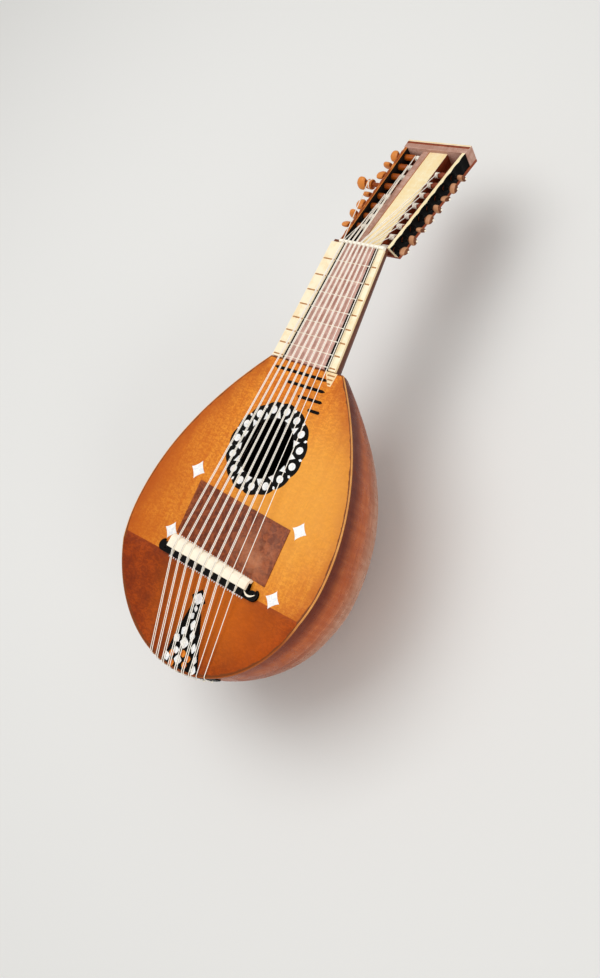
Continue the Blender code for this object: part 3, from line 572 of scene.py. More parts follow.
# %% One lattice of points
def lattice(points, round_rows=False, round_columns=True, caps=False, edge=0.0, finish=0, lay=None):
    """Quads (i, j), (i, j+1), (i+1, j+1), (i+1, j); caps are strips between opposite points of the
    first and of the last row, which then have an even number of points."""
    points = np.asarray(points, dtype=float)
    rows, columns = points.shape[:2]
    i = np.arange(rows if round_rows else rows - 1)[:, None]
    j = np.arange(columns if round_columns else columns - 1)[None, :]
    here, below = i * columns, (i + 1) % rows * columns
    right = (j + 1) % columns
    faces = np.stack([here + j, here + right, below + right, below + j], -1)
    kinds = np.broadcast_to(finish, faces.shape[:2]).ravel()
    faces = faces.reshape(-1, 4)
    if caps:
        k = np.arange(columns // 2 - 1)
        strip = np.stack([k, k + 1, columns - 2 - k, columns - 1 - k], 1)
        faces = np.concatenate([faces, strip[:, ::-1], strip + (rows - 1) * columns])
        kinds = np.concatenate([kinds, np.zeros(2 * len(strip), dtype=int)])
    return {"points": points.reshape(-1, 3), "faces": faces, "finish": kinds,
            "edge": np.broadcast_to(edge, (rows, columns)).ravel(),
            "lay": points.reshape(-1, 3) if lay is None else np.asarray(lay, float).reshape(-1, 3)}


def piece(name, lattices, finishes, stands_for=(), body="body", crease=35):
    """One object from some lattices: joined, doubles merged, normals out, smooth but for creases."""
    starts = np.cumsum([0] + [len(patch["points"]) for patch in lattices[:-1]])
    points = np.concatenate([patch["points"] for patch in lattices]) + ORIGIN
    faces = np.concatenate([patch["faces"] + first for patch, first in zip(lattices, starts)])
    mesh = bpy.data.meshes.new(name)
    mesh.from_pydata(points.tolist(), [], faces.tolist())
    mesh.polygons.foreach_set("material_index", np.concatenate([p["finish"] for p in lattices]))
    edge = np.concatenate([patch["edge"] for patch in lattices])
    mesh.attributes.new("edge", "FLOAT", "POINT").data.foreach_set("value", edge)
    if "rim" in lattices[0]:
        mesh.attributes.new("rim", "FLOAT", "POINT").data.foreach_set("value", lattices[0]["rim"])
    lay = np.concatenate([patch["lay"] for patch in lattices]).ravel()
    mesh.attributes.new("lay", "FLOAT_VECTOR", "POINT").data.foreach_set("vector", lay)
    for finish in finishes:
        mesh.materials.append(finish)
    bm = bmesh.new()
    bm.from_mesh(mesh)
    bmesh.ops.remove_doubles(bm, verts=bm.verts, dist=0.000002)
    bmesh.ops.recalc_face_normals(bm, faces=bm.faces)
    bm.to_mesh(mesh)
    bm.free()
    mesh.shade_smooth()
    mesh.set_sharp_from_angle(angle=math.radians(crease))
    made = bpy.data.objects.new(name, mesh)
    bpy.context.scene.collection.objects.link(made)
    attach(made, body)
    if stands_for:
        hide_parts(*stands_for)
    print(f"{name}: {len(mesh.polygons)} faces")
    return made


# %% Flat inlays
UP = np.array([0, 0, 1.0])


def tile(plan, low, high, chamfer=0.00012, finish=0):
    """A thin plate: its middle, the plan below and above, the plan drawn in, the middle."""
    plan = np.asarray(plan, dtype=float)
    middle = plan.mean(0)
    step = unit(plan - middle) * chamfer
    rows = [(plan * 0 + middle, low), (plan, low), (plan, high - chamfer), (plan - step, high),
            (plan - 2 * step, high), (plan * 0 + middle, high)]
    points = np.stack([stacked(*flat.T, z) for flat, z in rows])
    return lattice(points, edge=np.array([0, 1, 1, 0.8, 0, 0])[:, None], finish=finish)


def turned(flat, angle, place=(0.0, 0.0)):
    """Points of the plane turned about the origin and moved to a place."""
    cos, sin = math.cos(angle), math.sin(angle)
    return flat @ np.array([[cos, sin], [-sin, cos]]) + np.asarray(place)


def rounded_rectangle(wide, long, radius, steps=5):
    """Four quarter arcs about the inner corners."""
    angles = np.linspace(0, math.pi / 2, steps) + np.arange(4)[:, None] * math.pi / 2
    corner = np.array([[1, 1], [-1, 1], [-1, -1], [1, -1]]) * (wide / 2 - radius, long / 2 - radius)
    return (corner[:, None] + radius * np.stack([np.cos(angles), np.sin(angles)], -1)).reshape(-1, 2)


def pointed(half_wide, half_long, power, steps=32):
    """x = a cos^p, y = b sin^p with signs kept: an ellipse at 1, a lozenge at 2, a star above."""
    angle = full_turn(steps)
    return stacked(half_wide * signed_power(np.cos(angle), power),
                   half_long * signed_power(np.sin(angle), power))


def straight_sided(corners, steps=8):
    """A polygon with points spread along each side."""
    corners = np.asarray(corners, dtype=float)
    way = np.linspace(0, 1, steps, endpoint=False)[:, None]
    sides = corners[:, None] + (np.roll(corners, -1, 0) - corners)[:, None] * way
    return sides.reshape(-1, 2)


def fold_drop(y):
    """The board falls off past the fold: max(0, fold - y) times the slope."""
    return np.maximum(0, CANT_Y - y) * CANT_SLOPE


def on_board(patch):
    """Lower a patch by the fold's drop at each of its points."""
    patch["points"] = patch["points"] - UP * fold_drop(patch["points"][:, 1:2])
    return patch


# %% Profiles carried along a line
STRIP_EDGE = np.array([0, .7, 1, .7, .7, 1, .7, 0])


def bevel(inner, outer, low, high, c):
    """A bar's section as side, inset and height at eight points: up the inner side, over two
    chamfers of size c and down the outer side."""
    half = [(0, low), (0, high - c), (0.3 * c, high - 0.3 * c), (c, high)]
    return [(inner, inset, n) for inset, n in half] + [(outer, -inset, n) for inset, n in half[::-1]]


def edged_bar(inner, outer, low, high, c, up=UP, edge=STRIP_EDGE, finish=0):
    """That section carried along a strip between two rows of points."""
    across = unit(outer - inner)
    ring = [side + inset * across + n * up for side, inset, n in bevel(inner, outer, low, high, c)]
    return lattice(np.stack(ring, 1), caps=True, edge=edge, finish=finish)


def tube(path, radius, aside, sides=8):
    """Circles across a path; aside is a direction that is never along it."""
    path = np.asarray(path, dtype=float)
    ahead = unit(np.gradient(path, axis=0))
    first = unit(aside - (ahead @ np.asarray(aside, float))[:, None] * ahead)
    second = np.cross(ahead, first)
    turn = full_turn(sides)
    ring = np.cos(turn)[:, None] * first[:, None] + np.sin(turn)[:, None] * second[:, None]
    length = np.concatenate([[0], np.cumsum(np.linalg.norm(np.diff(path, axis=0), axis=1))])
    lay = stacked(turn / math.pi, length[:, None] + turn * radius, 0.0)
    return lattice(path[:, None] + radius * ring, caps=True, lay=lay)


def rounded_path(corners, reach, steps=6):
    """Each inner corner becomes a curve (1-t)^2 a + 2t(1-t) corner + t^2 b between points that lie
    reach before and after it, or less than half the way to the next corner."""
    corners = np.asarray(corners, dtype=float)
    step = np.diff(corners, axis=0)
    long = np.linalg.norm(step, axis=1, keepdims=True)
    short = np.minimum(reach, 0.45 * long) / long
    before = corners[1:-1] - step[:-1] * short[:-1]
    after = corners[1:-1] + step[1:] * short[1:]
    t = np.linspace(0, 1, steps)[None, :, None]
    bends = ((1 - t) ** 2 * before[:, None] + 2 * t * (1 - t) * corners[1:-1, None]
             + t ** 2 * after[:, None])
    return np.concatenate([corners[:1], bends.reshape(-1, 3), corners[-1:]])


# %% [markdown]
# ## The bowl
#
# The bowl is eleven bent staves. Its plan is a quarter ellipse at the tail and a parabola towards the
# neck, and its section is a full half-round. Each rib is a strip of that surface between two angles,
# sunk a little towards its seams, so that the light shows each stave. The ribs carry painted shade
# that darkens them towards the board, and painted reflected light lower down. One closed lattice
# makes a rib: its ring runs over the outside and back along the inside.


# %% The line of the bowl
def bowl_line(grow, first_angle=0.0, tail_steps=46, neck_steps=40):
    """At the tail: y = widest - reach cos a, wide = half sin a. To the neck, with the way w from 0
    to 1: wide falls with w^2 and the depth with w^3. All is moved out by grow."""
    fold = math.acos((WIDEST_Y - CANT_Y) / (TAIL_REACH + grow))
    angle = np.sort(np.append(np.linspace(first_angle, math.pi / 2, tail_steps), fold))
    w = np.linspace(0, 1, neck_steps)[1:]
    y = np.append(WIDEST_Y - (TAIL_REACH + grow) * np.cos(angle), WIDEST_Y + w * (JOINT_Y - WIDEST_Y))
    wide = np.append(BODY_HALF * np.sin(angle), BODY_HALF - (BODY_HALF - SHOULDER_HALF) * w ** 2)
    deep = np.append(BOWL_DEPTH * np.sin(angle), BOWL_DEPTH - (BOWL_DEPTH - SHOULDER_DEPTH) * w ** 3)
    return y, wide + grow, deep + grow


def half_round(wide, deep, angle, power):
    """x = wide cos^(2/p), z = -deep sin^(2/p), signs kept; the angle runs from treble to bass."""
    return wide * signed_power(np.cos(angle), 2 / power), -deep * np.abs(np.sin(angle)) ** (2 / power)


# %% Eleven ribs
TAIL_START = 0.06
FLUTE = 0.0007
SEAM = 0.00012
SEAM_WEAR = 0.75
ACROSS = 15


def rib_surface(low, high, t, line, sink):
    """A strip of the bowl between two angles, sunk by sink * (2t - 1)^2 towards its seams, and each
    point's distance from the strip's middle line."""
    y, wide, deep = (values[:, None] for values in line)
    angle = low + (high - low) * t[None, :] + SEAM / wide * (1 - 2 * t)
    sunk = sink * (2 * t[None, :] - 1) ** 2
    x, z = half_round(wide - sunk, deep - sunk, angle, BOWL_POWER)
    return stacked(x, y, RIM_Z - fold_drop(y) + z), (angle - (low + high) / 2) * wide


edges = np.linspace(0, math.pi, RIBS + 1)
t = np.linspace(0, 1, ACROSS)
for k in range(RIBS):
    outer, around = rib_surface(edges[k], edges[k + 1], t, bowl_line(0, TAIL_START), FLUTE)
    inner, around_in = rib_surface(edges[k], edges[k + 1], t[::-1], bowl_line(-RIB_WALL, TAIL_START), 0)
    ring = np.concatenate([outer, inner], 1)
    lay = stacked(np.concatenate([around, around_in], 1), ring[..., 1], 0.37 * k)
    # The rib's inner face takes the near black painted shade.
    inside = np.array([0] * ACROSS + [1] * (ACROSS - 1) + [0])
    edge = np.concatenate([np.abs(2 * t - 1) ** 6, 0 * t]) * SEAM_WEAR
    piece(f"bowl_rib_{k + 1:02d}", [lattice(ring, caps=True, finish=inside, edge=edge, lay=lay)],
          [RIB[k % 2], SHADE_BLACK], [f"rib_{k + 1:02d}"])

# %% [markdown]
# ## The soundboard
#
# The board is thin spruce with a round hole, and it is folded down behind the bridge. The surface is
# drawn as straight lines from the hole to the outline. On each line that crosses the fold one point
# is put exactly on it, so the crease stays crisp. A pale strip of wood is let in along the edge.

# %% Outline and board
HOLE_Y = 0.203
HOLE_RADIUS = 0.050
RING_ROOM = 0.0007
BINDING = 0.0015
EDGE_ROUND = 0.0004
NECK_STEPS, STEPS_TO_FOLD, STEPS_PAST_FOLD = 24, 22, 12
WORN_RIM, WORN_HOLE, SHADED_RIM = 0.006, 0.010, 0.022
hole_middle = np.array([0, HOLE_Y])


def outline(grow):
    """The board's plan from the treble side of the neck round the tail to the bass side."""
    y, wide, _ = bowl_line(grow)
    return np.concatenate([stacked(wide, y)[::-1], stacked(-wide, y)])


rim = outline(BOARD_OVERHANG - BINDING)
rim = np.concatenate([rim, np.linspace(rim[-1], rim[0], NECK_STEPS)[1:-1]])
hole = hole_middle + unit(rim - hole_middle) * (HOLE_RADIUS + RING_ROOM)
fold_share = np.where(rim[:, 1] < CANT_Y, (hole[:, 1] - CANT_Y) / (hole[:, 1] - rim[:, 1]), 1.0)
way = np.concatenate([np.linspace(0, 1, STEPS_TO_FOLD)[:, None] * fold_share,
                      fold_share + np.linspace(0, 1, STEPS_PAST_FOLD)[1:, None] * (1 - fold_share)])
top = hole + way[..., None] * (rim - hole)
underside = top[[-1, STEPS_TO_FOLD - 1, 0]]
flat_rows = np.concatenate([top, underside])
heights = np.concatenate([np.zeros(len(top)), np.full(len(underside), -BOARD_WALL)])[:, None]
span = np.linalg.norm(rim - hole, axis=1)
near_edge = np.exp(-(1 - way) * span / WORN_RIM) + 0.6 * np.exp(-way * span / WORN_HOLE)
rim_share = np.exp(-((1 - way) * span / SHADED_RIM) ** 2)
rim_share[:, rim[:, 1] > JOINT_Y - 0.001] = 0
nothing = np.zeros(underside.shape[:2])
board = lattice(np.dstack([flat_rows, heights - fold_drop(flat_rows[..., 1])]), round_rows=True,
                edge=np.concatenate([near_edge, nothing]))
board["rim"] = np.concatenate([rim_share, nothing]).ravel()
piece("spruce_board", [board], [BOARD], ["soundboard"])

# %% The strip along the edge
sides = [stacked(*plan.T, -fold_drop(plan[:, 1]))
         for plan in (outline(BOARD_OVERHANG - BINDING + 0.0001), outline(BOARD_OVERHANG))]
strip = edged_bar(*sides, -BOARD_WALL, 0.0001, EDGE_ROUND)
piece("edge_strip", [strip], [EDGE_WOOD])

# %% [markdown]
# ## The rosette
#
# The rosette is a black ring with a scalloped outer edge of fifteen lobes. In each lobe lies an oval
# of pearl, between the lobes a small triangle points outwards from the hole, and a tiny point of
# pearl sits in each notch. The lobes are arcs: r = notch + depth * sqrt(1 - u^2) across each lobe.

# %% Scalloped ring
LOBES = 15
NOTCH_RADIUS = 0.0738
LOBE_DEPTH = 0.0052
RING_TOP = 0.0003
LOBE_STEPS = 24

theta = full_turn(LOBES * LOBE_STEPS)
u = 2 * ((theta * LOBES / (2 * math.pi)) % 1) - 1
lobed = NOTCH_RADIUS + LOBE_DEPTH * np.sqrt(1 - u ** 2)
ring_back = HOLE_RADIUS + RING_ROOM - 0.0001
rings = [(HOLE_RADIUS, -BOARD_WALL), (HOLE_RADIUS, RING_TOP - 0.0003), (HOLE_RADIUS + 0.0003, RING_TOP),
         (0.060, RING_TOP), (0.067, RING_TOP), (lobed - 0.0002, RING_TOP), (lobed, RING_TOP - 0.0002),
         (lobed, -0.0002), (ring_back, -0.0002), (ring_back, -BOARD_WALL)]
points = np.stack([stacked(r * np.cos(theta), HOLE_Y + r * np.sin(theta), z) for r, z in rings])
ring_edge = np.array([0.5, 1, 0.7, 0, 0, 0.6, 1, 0, 0, 0])[:, None]
piece("scalloped_ring", [lattice(points, round_rows=True, edge=ring_edge)], [EBONY],
      ["rosette_ring"])

# %% Pearl round the hole
PEARL_TOP = RING_TOP + 0.0001
OVAL = pointed(0.0068, 0.0062, 1.0) + (0.0655, 0)
SPIKE = straight_sided([(0.0514, -0.0060), (0.0632, 0.0), (0.0514, 0.0060)])
POINT = pointed(0.0034, 0.0024, 1.6, 16) + (NOTCH_RADIUS - 0.0004, 0)
tiles = []
for number in range(LOBES):
    spoke = (number + 0.5) * 2 * math.pi / LOBES
    between = spoke + math.pi / LOBES
    for shape, angle, low in ((OVAL, spoke, RING_TOP - 0.0001), (SPIKE, between, RING_TOP - 0.0001),
                              (POINT, between, -0.0001)):
        tiles.append(tile(turned(shape, angle, hole_middle), low, PEARL_TOP))
piece("rosette_pearl", tiles, [PEARL])

# %% [markdown]
# ## The shell plate and its stars
#
# A thin plate of shell protects the board under the strings, and a four-pointed star of pearl sits at
# each of its corners. The plate is a rounded rectangle, slightly turned and leaning to one side.

# %% Plate and stars
PLATE_WIDE, PLATE_LONG, PLATE_THICK = 0.222, 0.093, 0.0009
PLATE_MIDDLE = (0.010, 0.0615)
PLATE_TURN = math.radians(-5)
PLATE_LEAN = 0.0050
STARS = [((-0.113, 0.131), 0.0165), ((0.1310, 0.1025), 0.0150), ((-0.108, 0.0235), 0.0150),
         ((0.140, -0.006), 0.0150)]
plate = rounded_rectangle(PLATE_WIDE - 2 * PLATE_LEAN, PLATE_LONG, 0.0012)
plate[:, 0] -= plate[:, 1] / PLATE_LONG * 2 * PLATE_LEAN
plate = turned(plate, PLATE_TURN, PLATE_MIDDLE)
piece("shell_plate", [tile(plate, 0.0, GAP + PLATE_THICK, 0.0003)], [SHELL],
      ["pickguard"])
stars = [tile(turned(pointed(size, size, 2.5, 48), PLATE_TURN, place), -0.0002, 0.0004)
         for place, size in STARS]
piece("corner_stars", [on_board(star) for star in stars], [PEARL])

# %% [markdown]
# ## The inlay at the tail
#
# A black wedge runs from a star near the bridge to the tail edge, where its base follows the curve of
# the board. Lozenges of pearl fill it, and near the base warm tiles lie between them.

# %% Wedge
WEDGE_TOP_Y = -0.044
WEDGE_TOP_X, WEDGE_END_X = 0.004, 0.0155
WEDGE_TOP_HALF, WEDGE_END_HALF = 0.0045, 0.0390
WEDGE_THICK = 0.0005
EDGE_MARGIN = 0.0020


def tail_edge(x):
    """The board's edge at the tail: widest - reach * sqrt(1 - (x / half)^2)."""
    return WIDEST_Y - TAIL_REACH * np.sqrt(1 - (x / BODY_HALF) ** 2)


def wedge_point(way, across):
    """A place in the wedge: way 0 at its top and 1 at its base, across -1 to 1 between its legs."""
    half = WEDGE_TOP_HALF + (WEDGE_END_HALF - WEDGE_TOP_HALF) * way
    x = WEDGE_TOP_X + (WEDGE_END_X - WEDGE_TOP_X) * way + across * half
    return stacked(x, WEDGE_TOP_Y + (tail_edge(x) + EDGE_MARGIN - WEDGE_TOP_Y) * way)


plan = straight_sided([(0.08, 1), (0.08, -1), (0.5, -1.12), (1, -1), (1, 1), (0.5, 1.05)])
wedge = wedge_point(*plan.T)
star = turned(pointed(0.0160, 0.0160, 1.9, 40), PLATE_TURN, wedge_point(0.09, 0))
piece("tail_wedge", [on_board(tile(shape, -0.0002, WEDGE_THICK)) for shape in (wedge, star)],
      [EBONY], ["tail_inlay"])

# %% Lozenges in the wedge
PEARL_LOW, PEARL_HIGH = 0.0002, WEDGE_THICK + 0.0001
LOZENGE_SIZE = 0.9
lozenges, warm = [], []
for way, across, wide, long, turn in (
        (0.09, 0, 0.0110, 0.0110, PLATE_TURN), (0.215, 0.0, 0.0042, 0.0060, 0.3),
        (0.32, -0.25, 0.0058, 0.0070, -0.5), (0.42, 0.20, 0.0062, 0.0094, 0.0),
        (0.53, -0.48, 0.0070, 0.0090, -0.4), (0.55, 0.36, 0.0062, 0.0100, 0.1),
        (0.66, -0.82, 0.0080, 0.0086, -0.5), (0.67, -0.14, 0.0104, 0.0100, 0.2),
        (0.69, 0.62, 0.0058, 0.0090, 0.1), (0.80, -0.52, 0.0074, 0.0066, 0.4),
        (0.83, 0.80, 0.0050, 0.0080, 0.0), (0.93, -0.90, 0.0074, 0.0084, 0.5),
        (0.90, -0.22, 0.0092, 0.0092, 0.2), (0.96, 0.76, 0.0062, 0.0080, 0.0)):
    shape = pointed(LOZENGE_SIZE * wide, LOZENGE_SIZE * long, 1.6, 24)
    lozenges.append(turned(shape, turn, wedge_point(way, across)))
for way, across in ((0.80, 0.0), (0.84, 0.36), (0.93, 0.22), (0.86, -0.70), (0.97, -0.52)):
    warm.append(turned(pointed(0.0058, 0.0058, 1.3, 24), 0.4, wedge_point(way, across)))
for name, shapes, finish, slot in (("wedge_pearl", lozenges, PEARL, "pearl"),
                                   ("wedge_warm_tiles", warm, AMBER, "boxwood")):
    piece(name, [on_board(tile(flat, PEARL_LOW, PEARL_HIGH)) for flat in shapes], [finish])

# %% [markdown]
# ## The bridge
#
# The bridge is a low black bar. Each end narrows and curls round towards the hole, and a row of
# blocks stands behind the saddle with the strings between them. The bar is a rounded section carried
# along a line: straight, then an arc. A long ivory plate lies before the blocks as the saddle. Ivory
# also fills the slots, and small teeth of pearl lie in the board along both sides of the bridge.

# %% Bar with curled ends
BRIDGE_Y = -0.0032
BRIDGE_TURN = math.radians(-2.8)
NARROWS, ARM, CURL, CURL_SWELL = 0.090, 0.104, 0.0085, 0.0009
CURL_TURN = math.radians(150)
DEEP, ARM_DEEP, TIP = 0.0285, 0.0052, 0.0024
HIGH, TIP_HIGH = 0.0070, 0.0040


def seated(points):
    """From the bridge's axes to the instrument's: turned about its middle and moved."""
    flat = turned(points[..., :2], BRIDGE_TURN, (0, BRIDGE_Y))
    return np.concatenate([flat, points[..., 2:]], -1)


def on_bridge(patch):
    """Move a patch from the bridge's axes to the instrument's."""
    patch["points"] = seated(patch["points"])
    return patch


def bridge_line():
    """One arm from the middle to its tip: place, turn, half depth and height at each station."""
    x = np.concatenate([np.linspace(0, NARROWS, 12)[:-1], np.linspace(NARROWS, ARM, 12)])
    way = np.clip(2 * (x - NARROWS) / (ARM - NARROWS), 0, 1)
    half = (DEEP + (ARM_DEEP - DEEP) * way * way * (3 - 2 * way)) / 2
    y = half - DEEP / 2
    share = np.linspace(0, 1, 22)[1:]
    turn = share * CURL_TURN
    curl_half = (ARM_DEEP + (TIP - ARM_DEEP) * share) / 2 + CURL_SWELL * np.sin(math.pi * share)
    return (np.append(x, ARM + CURL * np.sin(turn)), np.append(y, y[-1] + CURL * (1 - np.cos(turn))),
            np.append(x * 0, -turn), np.append(half, curl_half),
            np.append(x * 0 + HIGH, HIGH + (TIP_HIGH - HIGH) * share))


def both_arms(x, y, turn, half, high):
    """The other arm is the first one mirrored, so that the line runs from bass to treble."""
    return [np.concatenate([sign * row[:0:-1], row])
            for sign, row in zip((-1, 1, -1, 1, 1), (x, y, turn, half, high))]


x, y, turn, half, high = (row[:, None] for row in both_arms(*bridge_line()))
corner = np.minimum(0.0013, half * 0.55)
bend = np.linspace(0, math.pi / 2, 5)
aside = np.concatenate([half, half - corner + corner * np.cos(bend)], 1)
above = np.concatenate([half * 0, high - corner + corner * np.sin(bend)], 1)
aside = np.concatenate([aside, -aside[:, ::-1]], 1)
above = np.concatenate([above, above[:, ::-1]], 1)
points = stacked(x + aside * np.sin(turn), y + aside * np.cos(turn), above)
bar_edge = np.array([0.2, 0.6, 1, 1, 0.6, 0.2] * 2)
bar = lattice(seated(points), caps=True, edge=bar_edge)
print("bridge bar", np.round(np.ptp(bar["points"], 0) * 1000, 1), "mm")

# %% Blocks between the strings
COURSES, SINGLES = 9, 2
NUT_BAND, SADDLE_BAND, TAIL_BAND = 0.036, 0.075, 0.062
TAIL_SHIFT = 0.010
PAIR_AT_NUT, PAIR_AT_SADDLE = 0.0010, 0.0013
BASS_STRING, TREBLE_STRING = 0.00070, 0.00050
SLOT = PAIR_AT_SADDLE + BASS_STRING + 0.0012
SADDLE_LONG, SADDLE_WIDE, SADDLE_FORWARD = 0.184, 0.0155, 0.0047
SADDLE_BOTTOM = SADDLE_TOP - 0.0040
BLOCK_MARGIN = 0.0010
BLOCK_TAIL = BLOCK_MARGIN - DEEP / 2
BLOCK_FRONT = SADDLE_FORWARD - SADDLE_WIDE / 2 - GAP
BLOCK_LONG = BLOCK_FRONT - BLOCK_TAIL
EYE_HALF_WIDE, EYE_HALF_LONG, EYE_OUT, EYE_BACK = 0.0078, 0.0064, 0.0006, 0.0008


def course_x(number, band):
    """The middle of a course in a band of that half width."""
    return -band + 2 * band * number / (COURSES - 1)


block_y = (BLOCK_FRONT + BLOCK_TAIL) / 2
way_back = block_y / (WIDEST_Y - TAIL_REACH)
slots = course_x(np.arange(COURSES), SADDLE_BAND + (TAIL_BAND - SADDLE_BAND) * way_back)
slots = slots + TAIL_SHIFT * way_back + block_y * math.sin(BRIDGE_TURN)
lows = np.append(BLOCK_MARGIN - NARROWS, slots + SLOT)
highs = np.append(slots - SLOT, NARROWS - BLOCK_MARGIN)
blocks = []
for low, top in zip(lows, highs):
    flat = rounded_rectangle(top - low, BLOCK_LONG, 0.0010) + ((low + top) / 2, block_y)
    blocks.append(tile(flat, HIGH - 0.0008, SADDLE_TOP + 0.0002, 0.0006))
for side in (-1, 1):
    middle = (side * (ARM + EYE_OUT), CURL - (DEEP - ARM_DEEP) / 2 - EYE_BACK)
    eye = pointed(EYE_HALF_WIDE, EYE_HALF_LONG, 1.0, 28) + middle
    blocks.append(tile(eye, GAP, HIGH - 0.0004, 0.0006))
piece("curled_bridge", [bar] + [on_bridge(block) for block in blocks], [BRIDGE_EBONY],
      ["bridge"], crease=40)

# %% Ivory in the slots and in the treble curl
CRESCENT_X, CRESCENT_Y, CRESCENT_HALF = 0.0995, -0.0085, 0.0125
CRESCENT_BEND, CRESCENT_THICK = 0.0065, 0.0015
inlays = []
for middle in slots:
    flat = rounded_rectangle(2 * SLOT - 0.0004, BLOCK_LONG, 0.0002) + (middle, block_y)
    inlays.append(tile(flat, HIGH - 0.0004, HIGH + 0.0006))
u = np.linspace(-1, 1, 15)
bent = CRESCENT_BEND * u ** 2 + CRESCENT_Y
rims = [stacked(CRESCENT_X + CRESCENT_HALF * u, bent + side * CRESCENT_THICK * np.sqrt(1 - u ** 2))
        for side in (-1, 1)]
crescent = np.concatenate([rims[0], rims[1][-2:0:-1]])
inlays.append(tile(crescent, HIGH - 0.0006, HIGH + 0.0003))
piece("bridge_combs", [on_bridge(inlay) for inlay in inlays], [IVORY])

# %% Saddle plate with a sloping apron
APRON_PAST, APRON_TAPER, APRON_LONG = 0.0060, 0.0056, 0.0062
across = np.linspace(-SADDLE_LONG / 2, SADDLE_LONG / 2, 60)
share = across / SADDLE_LONG + 0.5
foot = DEEP / 2 + APRON_PAST - APRON_TAPER * share
front = foot - APRON_LONG
back = front * 0 + SADDLE_FORWARD - SADDLE_WIDE / 2
section = [(back, SADDLE_BOTTOM), (back, SADDLE_TOP - 0.0008), (back + 0.0002, SADDLE_TOP - 0.0002),
           (back + 0.0008, SADDLE_TOP), (front - 0.0006, SADDLE_TOP), (front, SADDLE_TOP - 0.0001),
           (foot - 0.0008, HIGH + 0.0014), (foot, HIGH + 0.0006), (foot, GAP + 0.0010), (foot, GAP)]
points = np.stack([stacked(across, y, z) for y, z in section], 1)
plate_edge = np.array([0, .6, 1, .5, .3, .5, .6, .9, .6, 0])
piece("ivory_saddle", [lattice(seated(points), caps=True, edge=plate_edge)], [IVORY],
      ["bridge_saddle"])

# %% Fringes of pearl on both sides of the bridge
TEETH, TOOTH_HALF, FRINGE_MARGIN = 34, 0.0025, 0.004
TAIL_ROOT, TAIL_TIP = 0.0006, 0.0036
HOLE_ROOT, HOLE_ROOT_TAPER, HOLE_TIP, HOLE_TIP_TAPER = 0.0040, 0.0045, 0.0110, 0.0095
fringe = []
for x in np.linspace(-NARROWS + FRINGE_MARGIN, NARROWS - FRINGE_MARGIN, TEETH):
    share = 0.5 + x / (2 * NARROWS)
    towards_tail = (TAIL_ROOT - DEEP / 2, -DEEP / 2 - TAIL_TIP)
    towards_hole = (DEEP / 2 + HOLE_ROOT - HOLE_ROOT_TAPER * share,
                    DEEP / 2 + HOLE_TIP - HOLE_TIP_TAPER * share)
    for root, tip in (towards_tail, towards_hole):
        tooth = straight_sided([(x - TOOTH_HALF, root), (x + TOOTH_HALF, root), (x, tip)], 4)
        fringe.append(on_board(on_bridge(tile(tooth, -0.0002, 0.0006))))
piece("bridge_fringe", fringe, [PEARL])

# %% [markdown]
# ## Neck, fingerboard and frets
#
# The neck is a half-round that tapers to the nut. On it lies a fingerboard made of five strips: a
# rosewood panel in the middle, a black line on each side of it and a pale border outside. The frets
# are bone across the dark strips and thin brown ticks across the borders. The last four frets are
# short black bars on the soundboard, beside a striped spur that carries on the treble border.

# %% Neck
NECK_JOINT_HALF, NECK_NUT_HALF = 0.068, 0.0548
NECK_JOINT_DEEP, NECK_NUT_DEEP = 0.042, 0.028
NECK_POWER = 2.2
NECK_SLANT = -0.0037


def neck_half(y):
    """Half the neck's width, falling evenly from the joint to the nut."""
    return np.interp(y, [NECK_START_Y, NECK_END_Y], [NECK_JOINT_HALF, NECK_NUT_HALF])


def neck_middle(y):
    """The neck's middle line: it leans to the bass side, so that the treble side falls in more."""
    return NECK_OFFSET + np.interp(y, [NECK_START_Y, NECK_END_Y], [0, NECK_SLANT])


y = np.linspace(NECK_START_Y, NECK_END_Y, 40)[:, None]
deep = np.interp(y, [NECK_START_Y, NECK_END_Y], [NECK_JOINT_DEEP, NECK_NUT_DEEP])
angle = np.linspace(0, math.pi, 48)[None, :]
x, z = half_round(neck_half(y), deep, angle, NECK_POWER)
points = stacked(x + neck_middle(y), y, z)
neck_edge = np.exp(-np.minimum(angle, math.pi - angle) / 0.08)
piece("round_neck", [lattice(points, caps=True, edge=neck_edge)], [NECK_WOOD], ["neck"])

# %% Five strips of the fingerboard
PANEL_AT_JOINT, PANEL_AT_NUT = 0.0412, 0.0292
LINE_AT_JOINT, LINE_AT_NUT = 0.0078, 0.0064
SEAM_WIDE = 0.00006


def panel_half(y):
    """Half the width of the middle panel."""
    return np.interp(y, [NECK_START_Y, NUT_Y], [PANEL_AT_JOINT, PANEL_AT_NUT])


def line_half(y):
    """Half the width out to the outer side of the black lines."""
    return panel_half(y) + np.interp(y, [NECK_START_Y, NUT_Y], [LINE_AT_JOINT, LINE_AT_NUT])


def long_strip(bass, treble, c, finish):
    """A strip along the fingerboard between two lines, given at the stations of strip_y."""
    ends = [stacked(side, strip_y, 0.0) for side in (bass, treble)]
    strip = edged_bar(*ends, GAP, FINGERBOARD_TOP, c)
    strip["finish"][:] = finish
    return strip


strip_y = np.linspace(NECK_START_Y, NUT_Y - GAP, 24)
panel, line, half = panel_half(strip_y), line_half(strip_y), neck_half(strip_y)
middle = neck_middle(strip_y)
strips = [long_strip(-panel, panel, 0.0002, 0),
          long_strip(SEAM_WIDE - line, -SEAM_WIDE - panel, 0.0002, 1),
          long_strip(panel + SEAM_WIDE, line - SEAM_WIDE, 0.0002, 1),
          long_strip(middle - half, -line, 0.0005, 2),
          long_strip(line, middle + half, 0.0005, 2)]
piece("inlaid_fingerboard", strips, [PANEL, EBONY, CREAM], ["fingerboard"])

